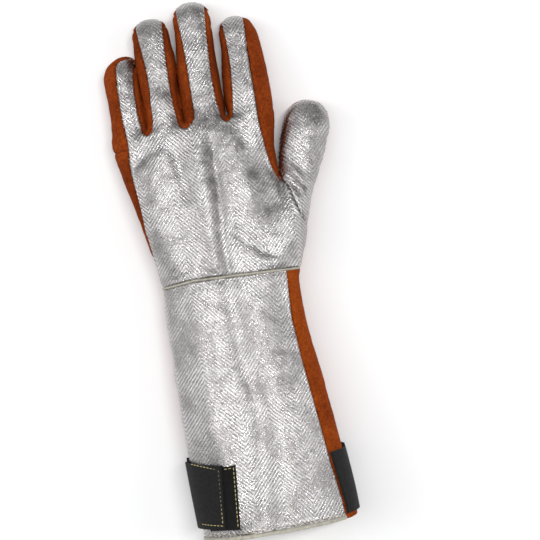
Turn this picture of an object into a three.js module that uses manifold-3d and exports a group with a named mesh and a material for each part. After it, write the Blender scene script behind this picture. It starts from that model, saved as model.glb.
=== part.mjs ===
import * as THREE from "three";
import Module from "manifold-3d";

const wasm = await Module();
wasm.setup();

// Lengths are millimetres. The glove lies palm down: +Y runs from the cuff's mouth to the
// fingertips, +X is the thumb's side and +Z points up, out of the back of the hand.

const CUFF_LENGTH = 188;
const PALM_LENGTH = 115;
const MOUTH_WIDTH = 115;
const WRIST_WIDTH = 103;
const PALM_WIDTH = 121;
const MOUTH_DEPTH = 62;
const WRIST_DEPTH = 47;
const KNUCKLE_DEPTH = 38;
const CROTCH_ROUNDING = 4;

const LEATHER_WALL = 2.2;
const CLOTH_WALL = 1.6;
const SEAM_GAP = 0.4;
const PIECE_GAP = 0.3;

const STRAP_WIDTH = 46;
const STRAP_THICKNESS = 2.2;
const PATCH_WIDTH = 26;
const PATCH_THICKNESS = 1.2;
const HEM_WIDTH = 2.8;
const HEM_PROUD = 0.5;
const WELT_WIDTH = 2.4;
const WELT_PROUD = 0.8;

// Cross-sections are flattened ovals, squarer below than above, with a flat of this much sag
// where they press on the floor.
const TOP_ROUNDNESS = 2.3;
const UNDERSIDE_ROUNDNESS = 2.8;
const WAIST_SHARE = 0.43;
const FLOOR_SAG = 1.5;

// Folds fade out from the crown of a section to its waist, sooner as this grows.
const FOLD_FADE = 1.4;

// Rounded ends: how square the tips of fingers and thumb are, where rings are drawn round them as
// shares of the tip, and the rings that close the hand between the finger roots.
const TIP_BLUNTNESS = 2.4;
const TIP_ROUNDNESS = 2.2;
const TIP_RINGS = [0.45, 0.76, 0.94];
const CROTCH_RINGS = [
  { past: 0.6, inset: 0.35 },
  { past: 1.0, inset: 1.3 },
];

// How finely the sections are drawn.
const BODY_POINTS = 28;
const LIMB_POINTS = 12;
const SECTION_STEP = 16;
const FAR = 400;

// How far cuts run out past the mouth, how much two joined blocks share, and the least share of a
// side's length that a mitred corner may have.
const OVERRUN = 20;
const OVERLAP = 0.01;
const MITRE_LIMIT = 0.5;

function table(columns, rows) {
  return rows.map((row) => Object.fromEntries(columns.map((name, i) => [name, row[i]])));
}

// Cuff sections, from the wrist seam (along 0) to the mouth (along 1). flare is the share of the
// way from the wrist's width and depth to the mouth's, lean the centre's shift to the thumb's
// side as a share of the mouth's width, and lift the share of the strap's room under the cuff.
const CUFF_SECTIONS = table(
  ["along", "flare", "lean", "deepen", "lift"],
  [
    [0.0, 0.0, 0.009, 0.0, 0.0],
    [0.08, -0.09, -0.004, 0.02, 0.05],
    [0.26, 0.09, -0.004, 0.2, 0.35],
    [0.46, 0.5, 0.012, 0.5, 0.85],
    [0.65, 0.78, 0.027, 0.74, 1.0],
    [0.88, 1.0, 0.046, 0.94, 1.0],
    [1.0, 1.0, 0.052, 1.0, 1.0],
  ],
);

// Hand sections, from the wrist seam (along 0) to the finger roots (along 1). spread and thin are
// shares of the way from the wrist's width and depth to the palm's and the knuckles'.
const HAND_SECTIONS = table(
  ["along", "spread", "lean", "thin"],
  [
    [0.0, 0.0, 0.009, 0.0],
    [0.14, 0.19, 0.006, 0.0],
    [0.27, 0.36, -0.006, 0.05],
    [0.39, 0.43, -0.02, 0.1],
    [0.52, 0.5, -0.037, 0.2],
    [0.65, 0.59, -0.06, 0.4],
    [0.78, 0.76, -0.072, 0.62],
    [0.87, 0.93, -0.0735, 0.8],
    [0.96, 1.05, -0.07, 0.95],
    [1.0, 1.07, -0.069, 1.0],
  ],
);

// Fingers and thumb. x and y are the root's place as shares of the palm's width and length, turn
// is the angle towards the thumb's side in degrees, and rise lifts the underside off the floor.
// In a limb's rows along is a share of its length, shift and breadth are shares of its width,
// and tall is a share of its depth.
const LIMB_COLUMNS = ["along", "shift", "breadth", "tall"];
const LIMBS = {
  little: {
    x: -0.4587, y: 0.87, turn: 0, length: 79, width: 28, depth: 31, rise: 0, tip: 19,
    rows: table(LIMB_COLUMNS, [
      [0.0, 0.0, 0.6, 0.8],
      [0.2, -0.01, 0.95, 1.0],
      [0.4, 0.03, 0.97, 0.97],
      [0.6, 0.02, 0.93, 0.88],
      [0.8, 0.0, 0.94, 0.82],
      [0.92, 0.07, 0.92, 0.76],
      [1.0, 0.15, 0.8, 0.7],
    ]),
  },
  ring: {
    x: -0.2273, y: 0.87, turn: 0, length: 103, width: 29, depth: 36.5, rise: 0, tip: 15,
    rows: table(LIMB_COLUMNS, [
      [0.0, 0.0, 0.6, 0.8],
      [0.16, 0.0, 0.97, 1.0],
      [0.35, -0.02, 0.93, 0.9],
      [0.52, -0.015, 0.97, 0.83],
      [0.68, 0.0, 1.03, 0.77],
      [0.84, -0.01, 0.97, 0.7],
      [1.0, 0.0, 0.93, 0.64],
    ]),
  },
  middle: {
    x: 0.0207, y: 0.87, turn: 0, length: 110, width: 31, depth: 37.5, rise: 0, tip: 15,
    rows: table(LIMB_COLUMNS, [
      [0.0, 0.0, 0.6, 0.8],
      [0.15, 0.0, 0.97, 1.0],
      [0.3, -0.015, 1.03, 0.9],
      [0.5, 0.0, 1.0, 0.83],
      [0.65, 0.03, 0.93, 0.77],
      [0.8, 0.07, 0.9, 0.7],
      [1.0, 0.08, 0.92, 0.64],
    ]),
  },
  index: {
    x: 0.2959, y: 0.87, turn: 0, length: 94, width: 33, depth: 34.5, rise: 0, tip: 17,
    rows: table(LIMB_COLUMNS, [
      [0.0, -0.03, 0.6, 0.8],
      [0.18, 0.02, 1.02, 1.0],
      [0.42, 0.04, 1.07, 0.94],
      [0.6, 0.06, 1.0, 0.86],
      [0.8, 0.07, 0.88, 0.78],
      [1.0, 0.0, 0.8, 0.7],
    ]),
  },
  thumb: {
    x: 0.38, y: 0.19, turn: 20.3, length: 106, width: 33, depth: 31, rise: 3.5, tip: 20,
    rows: table(LIMB_COLUMNS, [
      [-0.14, -0.05, 0.74, 1.1],
      [0.0, 0.0, 0.85, 1.25],
      [0.11, 0.02, 0.8, 1.2],
      [0.23, 0.03, 0.76, 1.1],
      [0.37, 0.035, 0.76, 1.0],
      [0.51, 0.02, 0.88, 0.97],
      [0.66, 0.0, 1.03, 0.95],
      [0.81, 0.01, 1.03, 0.92],
      [1.0, 0.0, 0.92, 0.85],
    ]),
  },
};
const FINGERS = ["little", "ring", "middle", "index"];

// Edges of the aluminized strip on each finger, as shares of the finger's half width there.
const STRIP_COLUMNS = ["along", "left", "right"];
const STRIPS = {
  little: table(STRIP_COLUMNS, [
    [0.28, -0.24, 0.74],
    [0.55, -0.33, 0.68],
    [0.8, -0.22, 0.82],
    [0.96, -0.3, 0.9],
  ]),
  ring: table(STRIP_COLUMNS, [
    [0.19, -0.68, 0.74],
    [0.32, -0.62, 0.7],
    [0.55, -0.5, 0.66],
    [0.78, -0.62, 0.7],
    [0.9, -0.74, 0.8],
    [1.06, -0.7, 0.7],
  ]),
  middle: table(STRIP_COLUMNS, [
    [0.19, -0.5, 0.8],
    [0.32, -0.47, 0.71],
    [0.55, -0.5, 0.71],
    [0.78, -0.72, 0.76],
    [0.9, -0.8, 0.82],
    [1.06, -0.7, 0.8],
  ]),
  index: table(STRIP_COLUMNS, [
    [0.22, -0.8, 0.34],
    [0.38, -0.66, 0.32],
    [0.6, -0.66, 0.3],
    [0.8, -0.74, 0.36],
    [0.93, -0.8, 0.55],
    [1.06, -0.7, 0.5],
  ]),
};

// Edges of the aluminized back, as shares of the half width: the hand's edge on the little
// finger's side and the cuff's seam on the thumb's side.
const HAND_EDGE = table(
  ["along", "share"],
  [
    [0.12, -1.05],
    [0.22, -0.985],
    [0.4, -0.966],
    [0.54, -0.92],
    [0.67, -0.89],
    [0.82, -0.86],
    [0.94, -0.81],
  ],
);
const CUFF_EDGE = table(
  ["along", "share"],
  [
    [0.0, 0.82],
    [0.2, 0.81],
    [0.35, 0.8],
    [0.55, 0.8],
    [0.7, 0.805],
    [0.82, 0.82],
    [0.93, 0.845],
    [1.1, 0.87],
  ],
);
// The index finger's edge from its root down to the thumb's crotch, then the seam between the
// back of the hand and the back of the thumb, as shares of the palm's width and length.
const INDEX_EDGE = table(
  ["x", "y"],
  [
    [0.348, 0.99],
    [0.352, 0.9],
    [0.36, 0.79],
    [0.378, 0.67],
    [0.398, 0.6],
  ],
);
const THUMB_SEAM = table(
  ["x", "y"],
  [
    [0.418, 0.575],
    [0.447, 0.535],
    [0.466, 0.47],
    [0.484, 0.39],
    [0.508, 0.305],
    [0.56, 0.2],
  ],
);
// The thumb's outline beyond that seam, far enough out to clear the thumb itself.
const THUMB_OUTSIDE = table(
  ["x", "y"],
  [
    [0.7, 0.2],
    [0.9, 0.8],
    [0.85, 1.2],
    [0.5, 1.2],
    [0.424, 0.83],
    [0.414, 0.62],
  ],
);

// The wrist seam's line across the hand, as shares of the wrist's width and the palm's length.
const WRIST_LINE = table(
  ["x", "y"],
  [
    [-0.7, 0.0],
    [-0.45, 0.006],
    [-0.25, 0.022],
    [0.0, 0.012],
    [0.3, -0.002],
    [0.7, -0.018],
  ],
);

// Height of the side seams above the floor, at the cuff's mouth, the wrist and the fingertips.
const SEAM_HEIGHT_MOUTH = 26;
const SEAM_HEIGHT_WRIST = 19;
const SEAM_HEIGHT_TIPS = 10;
const SEAM_HEIGHT_THUMB = 15;
const FRONT_HEIGHT = 7.5;
const TIP_CAP = 7;

// The palm's seams, as shares of the palm's width and length: the roots of the finger fronts,
// lower under the index finger, and the thumb piece set into the palm.
const ROOT_SEAM = table(
  ["x", "y"],
  [
    [-0.8, 0.93],
    [0.15, 0.93],
    [0.223, 0.82],
    [0.314, 0.7],
    [0.38, 0.622],
    [0.405, 0.6],
    [0.4175, 0.61],
    [0.4185, 0.8],
    [0.46, 0.88],
  ],
);
const THUMB_PATCH = table(
  ["x", "y"],
  [
    [0.405, 0.575],
    [0.314, 0.44],
    [0.33, 0.29],
    [0.43, 0.19],
    [0.7, 0.1],
  ],
);

// Folds: lines along which the cloth or leather stands up (positive) or sinks. Ends are shares of
// the palm's width and length, or of the mouth's width and the cuff's length, and height and
// spread are millimetres.
const FOLD_COLUMNS = ["x0", "y0", "x1", "y1", "height", "spread"];
const HAND_FOLDS = table(FOLD_COLUMNS, [
  [0.087, 0.93, -0.02, 0.08, 3.4, 8],
  [-0.255, 0.92, -0.205, 0.59, -1.8, 7],
  [0.25, 0.9, 0.3, 0.45, 1.4, 9],
  [0.463, 0.626, 0.578, 0.443, 3.0, 5],
  [0.49, 0.4, 0.53, 0.28, -3.0, 7],
  [-0.5, 0.97, -0.4, 0.94, -2.4, 5],
  [-0.4, 0.5, -0.3, 0.1, 1.6, 9],
]);
const CUFF_FOLDS = table(FOLD_COLUMNS, [
  [-0.235, -0.053, -0.26, -0.49, 2.8, 9],
  [-0.26, -0.49, -0.19, -0.98, 2.0, 10],
  [-0.01, -0.03, 0.0, -0.33, -2.2, 8],
  [0.0, -0.33, 0.05, -0.48, -2.0, 8],
  [0.025, -0.5, -0.035, -0.95, -1.6, 9],
  [0.12, -0.1, 0.17, -0.48, 1.6, 9],
  [0.17, -0.48, 0.155, -0.96, 1.2, 11],
  [0.3, -0.08, 0.36, -0.24, -2.4, 9],
]);
const PALM_FOLDS = table(FOLD_COLUMNS, [
  [0.03, 0.78, 0.09, 0.44, 3.4, 7],
  [0.09, 0.44, 0.26, 0.1, 3.6, 7],
  [-0.3, 0.72, -0.05, 0.66, 2.6, 8],
]);

// The strap: its top edge on the little finger's side, how far it drops towards the thumb's side
// and along the tab, its extra width at that side, and where tab and patch end, as shares of the
// cuff's length or the mouth's width.
const STRAP_START = 0.668;
const STRAP_DROP = 0.066;
const TAB_DROP = 0.037;
const STRAP_FLARE = 0.026;
const TAB_END = -0.248;
const PATCH_END = -0.162;
const END_SLANT = 0.035;
const STRAP_SPREAD = 1.4;
const STRAP_SEAM_GAP = 1;

// Angles round the cuff, in degrees from the thumb's side, over which the tab rises on to the
// patch and comes down again.
const ON_PATCH = { from: 60, rise: 20, to: 182, fall: 14 };

const COLOURS = {
  aluminized: { color: 0xc6c3c3, roughness: 0.32, metalness: 0.95 },
  piping: { color: 0xa19e99, roughness: 0.75, metalness: 0.0 },
  leather: { color: 0x854623, roughness: 0.92, metalness: 0.0 },
  strap: { color: 0x202020, roughness: 0.8, metalness: 0.0 },
};

const RADIANS = Math.PI / 180;
const clamp = (value, low, high) => Math.min(high, Math.max(low, value));
const mix = (from, to, share) => from + (to - from) * share;
const eased = (share) => {
  const s = clamp(share, 0, 1);
  return s * s * (3 - 2 * s);
};

// Reads a table at any place along it, on a smooth curve through its rows.
function readTable(rows, along) {
  const last = rows.length - 1;
  let i = rows.findIndex((row) => row.along > along) - 1;
  if (i < 0) {
    i = along <= rows[0].along ? 0 : last - 1;
  }
  const before = rows[Math.max(i - 1, 0)];
  const low = rows[i];
  const high = rows[i + 1];
  const after = rows[Math.min(i + 2, last)];
  const step = high.along - low.along;
  const t = clamp((along - low.along) / step, 0, 1);
  const result = {};
  for (const name of Object.keys(low)) {
    const slopeLow = ((high[name] - before[name]) / (high.along - before.along)) * step;
    const slopeHigh = ((after[name] - low[name]) / (after.along - low.along)) * step;
    result[name] =
      (2 * t ** 3 - 3 * t ** 2 + 1) * low[name] +
      (t ** 3 - 2 * t ** 2 + t) * slopeLow +
      (3 * t ** 2 - 2 * t ** 3) * high[name] +
      (t ** 3 - t ** 2) * slopeHigh;
  }
  return result;
}

// Width, centre, heights and floor of the hand and cuff at a place between mouth and roots.
function bodySection(y) {
  const room = STRAP_THICKNESS + PIECE_GAP;
  let width;
  let depth;
  let centre;
  let floor = 0;
  if (y < 0) {
    const row = readTable(CUFF_SECTIONS, Math.min(-y / CUFF_LENGTH, 1));
    width = mix(WRIST_WIDTH, MOUTH_WIDTH, row.flare);
    depth = mix(WRIST_DEPTH, MOUTH_DEPTH, row.deepen);
    centre = row.lean * MOUTH_WIDTH;
    floor = room * clamp(row.lift, 0, 1);
  } else {
    const row = readTable(HAND_SECTIONS, Math.min(y / PALM_LENGTH, 1));
    width = mix(WRIST_WIDTH, PALM_WIDTH, row.spread);
    depth = mix(WRIST_DEPTH, KNUCKLE_DEPTH, row.thin);
    centre = row.lean * PALM_WIDTH;
  }
  return { centre, half: width / 2, floor, waist: floor + depth * WAIST_SHARE, top: floor + depth };
}

function foldHeight(folds, x, y, wide, long) {
  let total = 0;
  for (const fold of folds) {
    const ax = fold.x0 * wide;
    const ay = fold.y0 * long;
    const dx = fold.x1 * wide - ax;
    const dy = fold.y1 * long - ay;
    const t = ((x - ax) * dx + (y - ay) * dy) / (dx * dx + dy * dy);
    const near = clamp(t, 0, 1);
    const away = Math.hypot(x - ax - near * dx, y - ay - near * dy) / fold.spread;
    total += fold.height * Math.exp(-away * away);
  }
  return total;
}

// A point of an oval section: sideways distance and height for an angle round it.
function ovalPoint(section, angle, offset) {
  const c = Math.cos(angle);
  const s = Math.sin(angle);
  const upper = s > 0;
  const power = 2 / (upper ? TOP_ROUNDNESS : UNDERSIDE_ROUNDNESS);
  const reach = upper ? section.top - section.waist : section.waist - section.floor + FLOOR_SAG;
  const across = Math.sign(c) * Math.abs(c) ** power * (section.half + offset);
  const sagged = section.waist + Math.sign(s) * Math.abs(s) ** power * (reach + offset);
  return { across, sagged, up: Math.max(sagged, section.floor - offset), upness: s };
}

function bodyRing(y, shape, offsetAt) {
  const section = bodySection(shape);
  return Array.from({ length: BODY_POINTS }, (_, i) => {
    const angle = (2 * Math.PI * i) / BODY_POINTS;
    const offset = offsetAt(angle, y);
    const point = ovalPoint(section, angle, offset);
    const x = section.centre + point.across;
    let z = point.up;
    if (point.upness > 0) {
      const raised =
        foldHeight(HAND_FOLDS, x, shape, PALM_WIDTH, PALM_LENGTH) +
        foldHeight(CUFF_FOLDS, x, shape, MOUTH_WIDTH, CUFF_LENGTH);
      z += raised * eased(point.upness * FOLD_FADE);
    } else if (shape > 0) {
      const raised = foldHeight(PALM_FOLDS, x, shape, PALM_WIDTH, PALM_LENGTH);
      z = Math.max(point.sagged + raised * eased(-point.upness * FOLD_FADE), section.floor - offset);
    }
    return [x, y, z];
  });
}

// Makes a closed solid from rings of points, with a flat end on the first and last ring.
function loft(rings) {
  const count = rings[0].length;
  const points = rings.flat();
  const faces = [];
  for (let r = 0; r + 1 < rings.length; r++) {
    for (let i = 0; i < count; i++) {
      const a = r * count + i;
      const b = r * count + ((i + 1) % count);
      faces.push([a, b, b + count], [a, b + count, a + count]);
    }
  }
  for (const [ring, start, turned] of [[rings[0], 0, true], [rings.at(-1), points.length - count, false]]) {
    const middle = points.length;
    const sum = ring.reduce((total, p) => [total[0] + p[0], total[1] + p[1], total[2] + p[2]]);
    points.push(sum.map((value) => value / count));
    for (let i = 0; i < count; i++) {
      const a = start + i;
      const b = start + ((i + 1) % count);
      faces.push(turned ? [middle, b, a] : [middle, a, b]);
    }
  }
  return solidOf(points, faces);
}

function solidOf(points, faces) {
  let volume = 0;
  for (const [a, b, c] of faces) {
    const [p, q, r] = [points[a], points[b], points[c]];
    volume += p[0] * (q[1] * r[2] - q[2] * r[1]) + p[1] * (q[2] * r[0] - q[0] * r[2]);
    volume += p[2] * (q[0] * r[1] - q[1] * r[0]);
  }
  const outward = volume > 0 ? faces : faces.map(([a, b, c]) => [a, c, b]);
  const mesh = new wasm.Mesh({
    numProp: 3,
    vertProperties: new Float32Array(points.flat()),
    triVerts: new Uint32Array(outward.flat()),
  });
  return new wasm.Manifold(mesh);
}

// The hand and cuff as one solid, its surface moved outwards by offset (inwards if negative). An
// inward one runs out past the mouth, so that subtracting it leaves the mouth open.
const OPEN_MOUTH = { mouth: OVERRUN, roots: 0 };
function bodySolid(offsetAt, ends = { mouth: 0, roots: 0 }) {
  const rings = [];
  if (ends.mouth > 0) {
    rings.push(bodyRing(-CUFF_LENGTH - ends.mouth, -CUFF_LENGTH, offsetAt));
  }
  const steps = Math.round((CUFF_LENGTH + PALM_LENGTH) / SECTION_STEP);
  for (let i = 0; i <= steps; i++) {
    const y = mix(-CUFF_LENGTH, PALM_LENGTH, i / steps);
    rings.push(bodyRing(y, y, offsetAt));
  }
  for (const { past, inset } of CROTCH_RINGS) {
    const y = PALM_LENGTH + past * (CROTCH_ROUNDING + ends.roots);
    rings.push(bodyRing(y, PALM_LENGTH, (angle) => offsetAt(angle, y) - inset * CROTCH_ROUNDING));
  }
  return loft(rings);
}

// Centre line, half width and heights of a finger or the thumb at a place along it.
function limbSection(limb, along) {
  const row = readTable(limb.rows, along);
  const depth = limb.depth * row.tall;
  return {
    centre: row.shift * limb.width,
    half: (limb.width * row.breadth) / 2,
    floor: limb.rise,
    waist: limb.rise + depth * WAIST_SHARE,
    top: limb.rise + depth,
  };
}

function limbPlace(limb, distance, across) {
  const turn = limb.turn * RADIANS;
  const x = limb.x * PALM_WIDTH + Math.sin(turn) * distance + Math.cos(turn) * across;
  const y = limb.y * PALM_LENGTH + Math.cos(turn) * distance - Math.sin(turn) * across;
  return [x, y];
}

function limbSolid(limb, offset) {
  const stations = [];
  const shaft = 1 - limb.tip / limb.length;
  const first = limb.rows[0].along;
  const steps = Math.round(((shaft - first) * limb.length) / SECTION_STEP);
  for (let i = 0; i <= steps; i++) {
    stations.push({ along: mix(first, shaft, i / steps), rounding: 1, past: 0 });
  }
  for (const past of TIP_RINGS) {
    const rounding = (1 - past ** TIP_BLUNTNESS) ** (1 / TIP_ROUNDNESS);
    stations.push({ along: mix(shaft, 1, past), rounding, past });
  }
  return loft(
    stations.map(({ along, rounding, past }) => {
      const section = limbSection(limb, along);
      const distance = along * limb.length + offset * past;
      return Array.from({ length: LIMB_POINTS }, (_, i) => {
        const point = ovalPoint(section, (2 * Math.PI * (i + 0.5)) / LIMB_POINTS, offset);
        const [x, y] = limbPlace(limb, distance, section.centre + point.across * rounding);
        return [x, y, section.waist + (point.up - section.waist) * rounding];
      });
    }),
  );
}

function gloveSolid(offset) {
  const ends = { mouth: offset < 0 ? OVERRUN : 0, roots: offset };
  const limbs = Object.values(LIMBS).map((limb) => limbSolid(limb, offset));
  return wasm.Manifold.union([bodySolid(() => offset, ends), ...limbs]);
}

// A prism over an outline in plan. Its foot may follow a height that changes with y.
function prism(outline, foot, head = FAR) {
  const footAt = typeof foot === "function" ? foot : () => foot;
  const corners = outline.map(([x, y]) => new THREE.Vector2(x, y));
  const caps = THREE.ShapeUtils.triangulateShape(corners, []);
  const count = outline.length;
  const points = outline.map(([x, y]) => [x, y, footAt(y)]);
  points.push(...outline.map(([x, y]) => [x, y, head]));
  const faces = [];
  for (const [a, b, c] of caps) {
    faces.push([a, c, b], [a + count, b + count, c + count]);
  }
  for (let i = 0; i < count; i++) {
    const j = (i + 1) % count;
    faces.push([i, j, j + count], [i, j + count, i + count]);
  }
  if (THREE.ShapeUtils.isClockWise(corners)) {
    const reversed = faces.slice(caps.length * 2).map(([a, b, c]) => [a, c, b]);
    faces.splice(caps.length * 2, reversed.length, ...reversed);
  }
  return solidOf(points, faces);
}

// Moves each side of an outline outwards by the same distance.
function grown(outline, by) {
  const outward = THREE.ShapeUtils.isClockWise(outline.map(([x, y]) => new THREE.Vector2(x, y))) ? -1 : 1;
  const count = outline.length;
  return outline.map(([x, y], i) => {
    const [px, py] = outline[(i + count - 1) % count];
    const [nx, ny] = outline[(i + 1) % count];
    const before = [(y - py) / Math.hypot(x - px, y - py), (px - x) / Math.hypot(x - px, y - py)];
    const after = [(ny - y) / Math.hypot(nx - x, ny - y), (x - nx) / Math.hypot(nx - x, ny - y)];
    const sum = [before[0] + after[0], before[1] + after[1]];
    const length = (sum[0] ** 2 + sum[1] ** 2) / 2;
    const scale = (outward * by) / Math.max(length, MITRE_LIMIT);
    return [x + sum[0] * scale, y + sum[1] * scale];
  });
}

const placed = (points, wide, long) => points.map((point) => [point.x * wide, point.y * long]);
const wristLine = placed(WRIST_LINE, WRIST_WIDTH, PALM_LENGTH);
const shifted = (line, dy) => line.map(([x, y]) => [x, y + dy]);

// Height of the side seam between back and palm, rising to the mouth and falling to the tips.
const fingertipY = LIMBS.middle.y * PALM_LENGTH + LIMBS.middle.length;
const seamHeight = (y) =>
  y < 0
    ? mix(SEAM_HEIGHT_WRIST, SEAM_HEIGHT_MOUTH, -y / CUFF_LENGTH)
    : mix(SEAM_HEIGHT_WRIST, SEAM_HEIGHT_TIPS, y / fingertipY);
const thumbHeight = (y) => mix(SEAM_HEIGHT_WRIST, SEAM_HEIGHT_THUMB, clamp(y / PALM_LENGTH, 0, 1));

function stripEdge(name, side) {
  const limb = LIMBS[name];
  return STRIPS[name].map((row) => {
    const section = limbSection(limb, Math.min(row.along, 1));
    return limbPlace(limb, row.along * limb.length, section.centre + row[side] * section.half);
  });
}

// The middle of the gap between two fingers, each of whose roots is this share of its width.
const ROOT_SHARE = 0.98;
const CROTCH_CLEARANCE = 0.6;
const crotchY = PALM_LENGTH + CROTCH_CLEARANCE;
function crotchX(i) {
  const [near, far] = [LIMBS[FINGERS[i]], LIMBS[FINGERS[i + 1]]];
  const rightSide = near.x * PALM_WIDTH + (near.width * ROOT_SHARE) / 2;
  const leftSide = far.x * PALM_WIDTH - (far.width * ROOT_SHARE) / 2;
  return (rightSide + leftSide) / 2;
}

function handOutline() {
  const outline = [];
  for (const row of HAND_EDGE) {
    const y = row.along * PALM_LENGTH;
    const section = bodySection(y);
    outline.push([section.centre + row.share * section.half, y]);
  }
  FINGERS.forEach((name, i) => {
    outline.push(...stripEdge(name, "left"), ...stripEdge(name, "right").reverse());
    if (i < FINGERS.length - 1) {
      outline.push([crotchX(i), crotchY]);
    }
  });
  outline.push(...placed(INDEX_EDGE, PALM_WIDTH, PALM_LENGTH));
  outline.push(...placed(THUMB_SEAM, PALM_WIDTH, PALM_LENGTH));
  const foot = shifted(wristLine, WELT_WIDTH / 2 + SEAM_GAP).reverse();
  outline.push(...foot);
  return outline;
}

function thumbOutline() {
  return [
    ...placed(THUMB_SEAM, PALM_WIDTH, PALM_LENGTH),
    ...placed(THUMB_OUTSIDE, PALM_WIDTH, PALM_LENGTH),
  ];
}

// Height in plan of a line that runs from left to right, at a place across it.
function lineAt(line, x) {
  const i = Math.max(1, line.findIndex((point) => point[0] > x));
  const [[x0, y0], [x1, y1]] = [line[i - 1], line[i]];
  return mix(y0, y1, (x - x0) / (x1 - x0));
}

// Where the seam on the thumb's side of the cuff runs, at a place along the cuff.
function cuffEdgeX(along, y) {
  const section = bodySection(y);
  return section.centre + readTable(CUFF_EDGE, along).share * section.half;
}

// The cuff's aluminized back, down past the mouth.
function cuffOutline(top) {
  const bottom = -CUFF_LENGTH - OVERRUN / 2;
  const edge = CUFF_EDGE.map(({ along }) => [cuffEdgeX(along, -along * CUFF_LENGTH), -along * CUFF_LENGTH]);
  const end = edge.at(-1)[0];
  const cut = top.filter(([x]) => x < edge[0][0]);
  const inside = edge.filter(([, y]) => y < 0 && y > bottom);
  return [...cut, [edge[0][0], lineAt(top, edge[0][0])], ...inside, [end, bottom], [-FAR / 4, bottom]];
}

const backCuffTop = shifted(wristLine, -WELT_WIDTH / 2 - SEAM_GAP);
const clothShell = gloveSolid(0).subtract(gloveSolid(-CLOTH_WALL));
const leatherShell = gloveSolid(0).subtract(gloveSolid(-LEATHER_WALL));
const mouthY = -CUFF_LENGTH;

const handPrism = (by) => prism(grown(handOutline(), by), (y) => seamHeight(y) - by);
const thumbPrism = (by) => prism(grown(thumbOutline(), by), (y) => thumbHeight(y) - by);
const cuffPrism = (by) => prism(grown(cuffOutline(backCuffTop), by), (y) => seamHeight(y) - by);

const pieces = {};

// Aluminized back.
pieces.thumb_back = clothShell.intersect(thumbPrism(0));
pieces.hand_back = clothShell.intersect(handPrism(0)).subtract(thumbPrism(SEAM_GAP));
const hemTop = mouthY + HEM_WIDTH;
function hemBand(by) {
  const [low, high] = [mouthY - OVERRUN, hemTop + by];
  return prism([[-FAR, low], [FAR, low], [FAR, high], [-FAR, high]], 0);
}
pieces.cuff_back = clothShell.intersect(cuffPrism(0)).subtract(hemBand(SEAM_GAP));
const hemInside = bodySolid(() => -CLOTH_WALL - HEM_PROUD, OPEN_MOUTH);
const hemShell = bodySolid(() => HEM_PROUD).subtract(hemInside);
pieces.cuff_hem = hemShell.intersect(cuffPrism(0)).intersect(hemBand(0));

// Piping in the wrist seam.
const weltOutline = [...shifted(wristLine, WELT_WIDTH / 2), ...shifted(wristLine, -WELT_WIDTH / 2).reverse()];
const weltPrism = (by) => prism(grown(weltOutline, by), seamHeight(0) - by);
const weltShell = bodySolid(() => WELT_PROUD).subtract(bodySolid(() => -CLOTH_WALL, OPEN_MOUTH));
pieces.wrist_welt = weltShell.intersect(weltPrism(0));

// Leather palm side: what the back leaves of the shell, cut at its seams.
let leather = leatherShell
  .subtract(handPrism(SEAM_GAP))
  .subtract(thumbPrism(SEAM_GAP))
  .subtract(cuffPrism(SEAM_GAP))
  .subtract(weltPrism(SEAM_GAP));

function takeLeather(region, clearance) {
  const piece = leather.intersect(region);
  leather = leather.subtract(clearance);
  return piece;
}

const below = [[FAR, -FAR], [-FAR, -FAR]];
pieces.cuff_palm = takeLeather(
  prism([...shifted(wristLine, -SEAM_GAP / 2), ...below], -FAR),
  prism([...shifted(wristLine, SEAM_GAP / 2), ...below], -FAR),
);

const thumbRegion = [
  ...placed(THUMB_PATCH, PALM_WIDTH, PALM_LENGTH),
  ...placed(THUMB_OUTSIDE.slice(1), PALM_WIDTH, PALM_LENGTH),
];
pieces.thumb_front = takeLeather(prism(thumbRegion, -FAR), prism(grown(thumbRegion, SEAM_GAP), -FAR));

const beyondRoots = (by) => [
  ...shifted(placed(ROOT_SEAM, PALM_WIDTH, PALM_LENGTH), -by),
  [FAR, PALM_LENGTH],
  [FAR, FAR],
  [-FAR, FAR],
];
pieces.palm = leather.subtract(prism(beyondRoots(SEAM_GAP / 2), -FAR));
let fingerLeather = leather.intersect(prism(beyondRoots(-SEAM_GAP / 2), -FAR));

FINGERS.forEach((name, i) => {
  const left = i === 0 ? -FAR : crotchX(i - 1) + SEAM_GAP / 2;
  const right = i === FINGERS.length - 1 ? FAR : crotchX(i) - SEAM_GAP / 2;
  const limb = LIMBS[name];
  const tip = limbPlace(limb, limb.length - TIP_CAP, 0)[1];
  const centre = limb.x * PALM_WIDTH;
  const outerLeft = i === 0 ? -FAR : centre;
  const outerRight = i === FINGERS.length - 1 ? FAR : centre;
  const block = (x0, x1, y0, head) => prism([[x0, y0], [x1, y0], [x1, FAR], [x0, FAR]], -FAR, head);
  const parts = (by) => {
    const low = block(left - by, right + by, 0, FRONT_HEIGHT + by);
    const list = [low, block(left - by, right + by, tip - by, FAR)];
    if (outerRight > outerLeft) {
      list.push(block(outerLeft, outerRight, 0, FAR));
    }
    return wasm.Manifold.union(list);
  };
  pieces[`${name}_front`] = fingerLeather.intersect(parts(0));
  fingerLeather = fingerLeather.subtract(parts(SEAM_GAP));
});
FINGERS.slice(1).forEach((name, i) => {
  const left = LIMBS[FINGERS[i]].x * PALM_WIDTH;
  const right = LIMBS[name].x * PALM_WIDTH;
  const between = prism([[left, 0], [right, 0], [right, FAR], [left, FAR]], -FAR);
  pieces[`side_${FINGERS[i]}_${name}`] = fingerLeather.intersect(between);
});

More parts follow.
